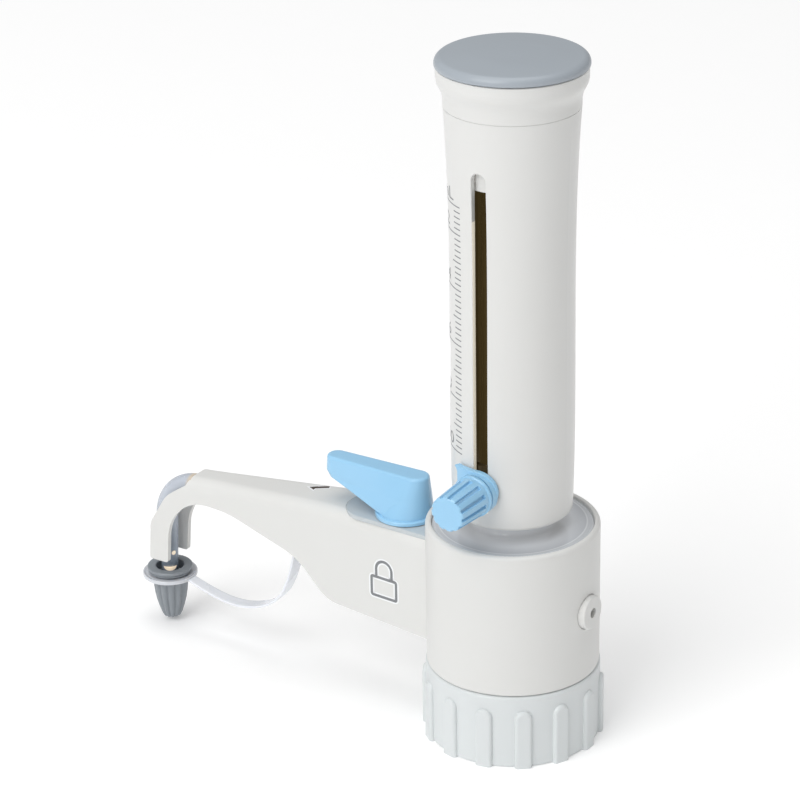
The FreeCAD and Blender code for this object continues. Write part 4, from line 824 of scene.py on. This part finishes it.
def draw_padlock(bm, grow):
    line = PADLOCK_LINE + 2 * grow
    outer = (SHACKLE_RIGHT - SHACKLE_LEFT) / 2 + grow
    middle = (SHACKLE_LEFT + SHACKLE_RIGHT) / 2
    spring = SHACKLE_TOP + grow - outer
    add_ring(bm, middle, spring, outer, line)
    bmesh.ops.bisect_plane(bm, geom=list(bm.verts) + list(bm.edges) + list(bm.faces),
                           plane_co=(0, 0, spring), plane_no=(0, 0, -1), clear_outer=True)
    for left in (middle - outer, middle + outer - line):
        add_rectangle(bm, left, left + line, PADLOCK_HIGH - PADLOCK_LINE / 2, spring)
    before = set(bm.faces)
    corners = add_rectangle(bm, PADLOCK_LEFT - grow, PADLOCK_RIGHT + grow, PADLOCK_LOW - grow,
                            PADLOCK_HIGH + grow)
    bmesh.ops.bevel(bm, geom=corners, affect="VERTICES", offset=PADLOCK_CORNER + grow,
                    segments=4, profile=0.5, material=-1)
    hollow_out(bm, [f for f in bm.faces if f not in before], line)


def draw_arrow(bm, grow):
    """Short bent arrow in plan: a slanting bar and a three-sided head."""
    tail = bmesh.ops.create_grid(bm, x_segments=6, y_segments=2, size=0.5)
    size = Matrix.Diagonal((ARROW_LENGTH + 2 * grow, ARROW_LINE + 2 * grow, 1, 1))
    place = Matrix.Translation((*ARROW_TAIL_PLACE, ARROW_HEIGHT)) @ Matrix.Rotation(
        math.radians(ARROW_TURN), 4, "Z")
    bmesh.ops.transform(bm, matrix=place @ size, verts=tail["verts"])
    head = bmesh.ops.create_circle(bm, cap_ends=True, segments=3, radius=ARROW_HEAD_R + 2 * grow)
    place = Matrix.Translation((*ARROW_HEAD_PLACE, ARROW_HEIGHT)) @ Matrix.Rotation(
        math.radians(90), 4, "Z")
    bmesh.ops.transform(bm, matrix=place, verts=head["verts"])


def make_signs():
    arm = cad_surface("arm_shell")
    ink_and_halo("padlock_sign", draw_padlock, PRINT_GREY, arm, (0, 1, 0))
    ink_and_halo("arrow_sign", draw_arrow, PRINT_BROWN, arm, (0, 0, -1))


# Cap's strap


def strap_line():
    """Points along the smooth curve that the route controls."""
    curve = bpy.data.curves.new("strap_line", "CURVE")
    curve.dimensions = "3D"
    spline = curve.splines.new("NURBS")
    spline.points.add(len(STRAP_ROUTE) - 1)
    for point, (x, z) in zip(spline.points, STRAP_ROUTE):
        point.co = (x, 0, z, 1)
    spline.use_endpoint_u = True
    spline.order_u = 3
    spline.resolution_u = STRAP_SMOOTHNESS
    shape = bpy.data.objects.new("strap_line", curve)
    mesh = bpy.data.meshes.new_from_object(shape)
    points = [v.co.copy() for v in mesh.vertices]
    bpy.data.objects.remove(shape)
    bpy.data.meshes.remove(mesh)
    return points


def make_strap():
    """Flat band with softened edges from the tether ring to an eye round the arm's pin."""
    points = strap_line()
    last = len(points) - 1
    bm = bmesh.new()
    bmesh.ops.create_grid(bm, x_segments=last, y_segments=4, size=0.5)
    for vertex in bm.verts:
        share = (vertex.co.x + 0.5) * last
        point = points[min(last, round(share))]
        width = STRAP_WIDTH + STRAP_WIDENS * share / last
        vertex.co = (point.x, vertex.co.y * width, point.z)
    bmesh.ops.recalc_face_normals(bm, faces=bm.faces)
    bmesh.ops.translate(bm, vec=(0, 0, -STRAP_THICK / 2), verts=bm.verts)
    bmesh.ops.solidify(bm, geom=list(bm.faces), thickness=STRAP_THICK)
    sides = [e for e in bm.edges
             if e.is_manifold and e.calc_face_angle(0) > math.radians(STRAP_SIDE_ANGLE)]
    bmesh.ops.bevel(bm, geom=sides, affect="EDGES", offset=STRAP_THICK / 4, segments=2,
                    profile=0.5, material=-1)
    add_eye(bm)
    bmesh.ops.scale(bm, vec=(MM, MM, MM), verts=bm.verts)
    strap = piece_from(bm, "tether_strap", FINISHES["strap_clear"], None)
    strap.data.shade_smooth()
    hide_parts("cap_strap")
    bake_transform(strap)


def add_eye(bm):
    """Eye of the strap: a short tube about the pin."""
    pin_x, pin_z = STRAP_PIN
    profile = bmesh.ops.create_grid(bm, x_segments=1, y_segments=1, size=0.5)
    size = Matrix.Diagonal((STRAP_EYE_R - STRAP_EYE_HOLE_R, STRAP_WIDTH, 1, 1))
    place = Matrix.Translation((pin_x + (STRAP_EYE_R + STRAP_EYE_HOLE_R) / 2, 0, pin_z))
    bmesh.ops.transform(bm, matrix=place @ size, verts=profile["verts"])
    edges = list(dict.fromkeys(e for v in profile["verts"] for e in v.link_edges))
    faces = list(dict.fromkeys(f for v in profile["verts"] for f in v.link_faces))
    bmesh.ops.delete(bm, geom=faces, context="FACES_ONLY")
    bmesh.ops.spin(bm, geom=edges, cent=(pin_x, 0, pin_z), axis=(0, 1, 0),
                   angle=math.tau, steps=STRAP_EYE_STEPS, use_merge=True)


# Pointer plate, knob and nozzle cap


def plate_outline(bm):
    """Face of the round plate in the XZ plane, with its pointer towards the scale."""
    round_edge = bmesh.ops.create_circle(bm, segments=PLATE_STEPS, radius=PLATE_R)["verts"]
    bmesh.ops.transform(bm, matrix=UPRIGHT, verts=round_edge)
    covered = [v for v in round_edge if math.radians(POINTER_FROM)
               < math.atan2(v.co.z, v.co.x) % math.tau < math.radians(POINTER_TO)]
    bmesh.ops.delete(bm, geom=covered, context="VERTS")
    upper, lower = sorted((v for v in bm.verts if len(v.link_edges) == 1),
                          key=lambda v: -v.co.z)
    line = [upper] + [bm.verts.new((x, 0, z)) for x, z in POINTER] + [lower]
    for start, end in zip(line, line[1:]):
        bm.edges.new((start, end))
    bmesh.ops.contextual_create(bm, geom=list(bm.edges))


def make_pointer_plate():
    """Plate that carries the knob: a round disc with a pointer towards the scale."""
    bm = bmesh.new()
    plate_outline(bm)
    grown = bmesh.ops.extrude_face_region(bm, geom=list(bm.faces))
    raised = [v for v in grown["geom"] if isinstance(v, bmesh.types.BMVert)]
    bmesh.ops.translate(bm, vec=(0, -PLATE_THICK, 0), verts=raised)
    bmesh.ops.recalc_face_normals(bm, faces=bm.faces)
    rim = [e for e in bm.edges if all(v.co.y < -PLATE_THICK / 2 for v in e.verts)]
    bmesh.ops.bevel(bm, geom=rim, affect="EDGES", offset=PLATE_EDGE, segments=3, profile=0.5,
                    material=-1)
    for x in PLATE_CUTS:
        bmesh.ops.bisect_plane(bm, geom=list(bm.verts) + list(bm.edges) + list(bm.faces),
                               plane_co=(x, 0, 0), plane_no=(1, 0, 0))
    for vertex in bm.verts:
        radius = PLATE_INSIDE_R - vertex.co.y
        turn = vertex.co.x / PLATE_INSIDE_R
        vertex.co = (radius * math.sin(turn), -radius * math.cos(turn),
                     PLATE_CENTRE_Z + vertex.co.z)
    add_knob_seat(bm)
    bmesh.ops.scale(bm, vec=(MM, MM, MM), verts=bm.verts)
    plate = piece_from(bm, "pointer_plate", FINISHES["light_blue"], "slider")
    smooth_by_angle(plate)
    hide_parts("slider_plate")


def add_knob_seat(bm):
    """Round seat between the plate and the knob."""
    low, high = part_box("clamp_knob")
    middle = (low.z + high.z) / 2 / MM
    front = PLATE_INSIDE_R + PLATE_THICK + SEAT_PROUD
    made = bmesh.ops.create_cone(bm, cap_ends=True, segments=SEAT_STEPS, radius1=SEAT_R,
                                 radius2=SEAT_R, depth=PLATE_THICK + SEAT_PROUD)
    place = Matrix.Translation((0, -front + (PLATE_THICK + SEAT_PROUD) / 2, middle))
    bmesh.ops.transform(bm, matrix=place @ UPRIGHT, verts=made["verts"])


def turn_profile(bm, profile, steps):
    """Turns a profile of (radius, height) round the Z axis."""
    line = [bm.verts.new((radius, 0, height)) for radius, height in profile]
    edges = [bm.edges.new(pair) for pair in zip(line, line[1:])]
    bmesh.ops.spin(bm, geom=line + edges, cent=(0, 0, 0), axis=(0, 0, 1), angle=math.tau,
                   steps=steps, use_merge=True)
    bmesh.ops.remove_doubles(bm, verts=bm.verts, dist=0.001)


def draw_in(vertex, depth):
    """Moves a vertex towards the Z axis."""
    radius = math.hypot(vertex.co.x, vertex.co.y)
    vertex.co.x *= (radius - depth) / radius
    vertex.co.y *= (radius - depth) / radius


def make_knob():
    """Tapered knob: flutes with square ends that open at its face."""
    bm = bmesh.new()
    turn_profile(bm, KNOB_PROFILE, KNOB_STEPS)
    pitch = KNOB_STEPS // FLUTE_COUNT
    for vertex in bm.verts:
        if math.hypot(vertex.co.x, vertex.co.y) < FLUTE_INNER_R or vertex.co.z < FLUTE_START:
            continue
        step = round(math.atan2(vertex.co.y, vertex.co.x) * KNOB_STEPS / math.tau)
        if step % pitch >= pitch - FLUTE_STEPS:
            share = FLUTE_END_SHARE if vertex.co.z > FLUTE_RUN_OUT else 1
            draw_in(vertex, FLUTE_DEPTH * share)
    low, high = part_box("clamp_knob")
    place = Matrix.Translation((0, high.y / MM, (low.z + high.z) / 2 / MM))
    turn = Matrix.Rotation(math.radians(FLUTE_FIRST), 4, "Z")
    bmesh.ops.transform(bm, matrix=Matrix.Scale(MM, 4) @ place @ UPRIGHT @ turn, verts=bm.verts)
    knob = piece_from(bm, "fluted_knob", FINISHES["light_blue"], "knob")
    smooth_by_angle(knob)
    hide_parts("clamp_knob")


def make_nozzle_cap():
    """Push-on cap: stepped flange, neck for the ring and a lobed, tapering nose."""
    bm = bmesh.new()
    turn_profile(bm, ((0, CAP_NOSE[0][1]), *CAP_NOSE, *CAP_HEAD), CAP_STEPS)
    outer = {height: radius for radius, height in CAP_NOSE}
    for vertex in bm.verts:
        radius = math.hypot(vertex.co.x, vertex.co.y)
        height = min(outer, key=lambda z: abs(z - vertex.co.z))
        if vertex.co.z > LOBE_TOP or abs(outer[height] - radius) > 0.01:
            continue
        around = math.atan2(vertex.co.y, vertex.co.x) - math.radians(LOBE_FIRST)
        valley = 1 - abs(math.sin(LOBE_COUNT / 2 * around))
        draw_in(vertex, LOBE_DEPTH * valley * min(1.0, radius / LOBE_FULL_R))
    place = Matrix.Translation((CAP_AXIS_X, 0, 0))
    bmesh.ops.transform(bm, matrix=Matrix.Scale(MM, 4) @ place, verts=bm.verts)
    cap = piece_from(bm, "lobed_nozzle_cap", FINISHES["nozzle_grey"], "nozzle_cover")
    smooth_by_angle(cap)
    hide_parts("nozzle_cap")


def smooth_by_angle(piece):
    """Smooth faces with sharp edges kept, as on a moulding."""
    piece.data.shade_smooth()
    piece.data.set_sharp_from_angle(angle=math.radians(SHARP_ANGLE))


# Thread turns in the collar


def make_thread():
    """Rounded thread turns that wind up the collar's bore."""
    bm = bmesh.new()
    rib = bmesh.ops.create_circle(bm, segments=12, radius=THREAD_ROOT_R - THREAD_CREST_R)
    place = Matrix.Translation((THREAD_ROOT_R, 0, THREAD_LOW))
    bmesh.ops.transform(bm, matrix=place @ UPRIGHT, verts=rib["verts"])
    steps = round(THREAD_TURNS * THREAD_STEPS_A_TURN)
    bmesh.ops.spin(bm, geom=list(bm.edges), axis=(0, 0, 1), angle=math.tau * THREAD_TURNS,
                   steps=steps, dvec=(0, 0, THREAD_PITCH * THREAD_TURNS / steps))
    bmesh.ops.holes_fill(bm, edges=[e for e in bm.edges if e.is_boundary])
    bmesh.ops.scale(bm, vec=(MM, MM, MM), verts=bm.verts)
    thread = piece_from(bm, "collar_thread", FINISHES["collar_white"], "collar")
    thread.data.shade_smooth()


# Stage, lights and camera


def make_floor():
    bm = bmesh.new()
    bmesh.ops.create_grid(bm, x_segments=1, y_segments=1, size=FLOOR_SIZE)
    paper = moulded_plastic("pale_paper", (0.95, 0.95, 0.95), (0.94, 0.94, 0.94), roughness=0.9,
                            grain=300.0)
    light_up(*tree_and_shader(paper), (1, 1, 1, 1), FLOOR_GLOW)
    piece_from(bm, "studio_floor", paper, None)


def add_lamp(name, kind, power):
    light = bpy.data.lights.new(name, kind)
    light.energy = power
    lamp = bpy.data.objects.new(name, light)
    bpy.context.scene.collection.objects.link(lamp)
    return lamp


def light_studio():
    world = bpy.data.worlds.new("studio_air")
    world.use_nodes = True
    set_sockets(world.node_tree.nodes["Background"], Color=(1, 1, 1, 1), Strength=AIR_STRENGTH)
    bpy.context.scene.world = world
    key = add_lamp("key_light", "AREA", KEY_POWER)
    key.data.size = KEY_SIZE
    key.location = KEY_PLACE
    key.rotation_euler = (Vector(LIGHT_AIM) - key.location).to_track_quat("-Z", "Y").to_euler()
    overhead = add_lamp("overhead_light", "SUN", OVERHEAD_STRENGTH)
    overhead.data.angle = math.radians(OVERHEAD_ANGLE)
    bpy.context.scene.view_settings.view_transform = "Standard"


def add_camera():
    data = bpy.data.cameras.new("view_camera")
    data.lens = CAMERA_LENS
    data.sensor_width = CAMERA_SENSOR
    data.clip_start = 0.05
    data.clip_end = 50.0
    camera = bpy.data.objects.new("view_camera", data)
    bpy.context.scene.collection.objects.link(camera)
    place = metres(*CAMERA_PLACE)
    turn = (metres(*CAMERA_AIM) - place).to_track_quat("-Z", "Y").to_matrix().to_4x4()
    roll = Matrix.Rotation(math.radians(CAMERA_ROLL), 4, "Z")
    camera.matrix_world = Matrix.Translation(place) @ turn @ roll
    bpy.context.scene.camera = camera


finish_cad_nodes()
make_volume_scale()
make_signs()
make_strap()
make_pointer_plate()
make_knob()
make_nozzle_cap()
make_thread()
make_floor()
light_studio()
add_camera()
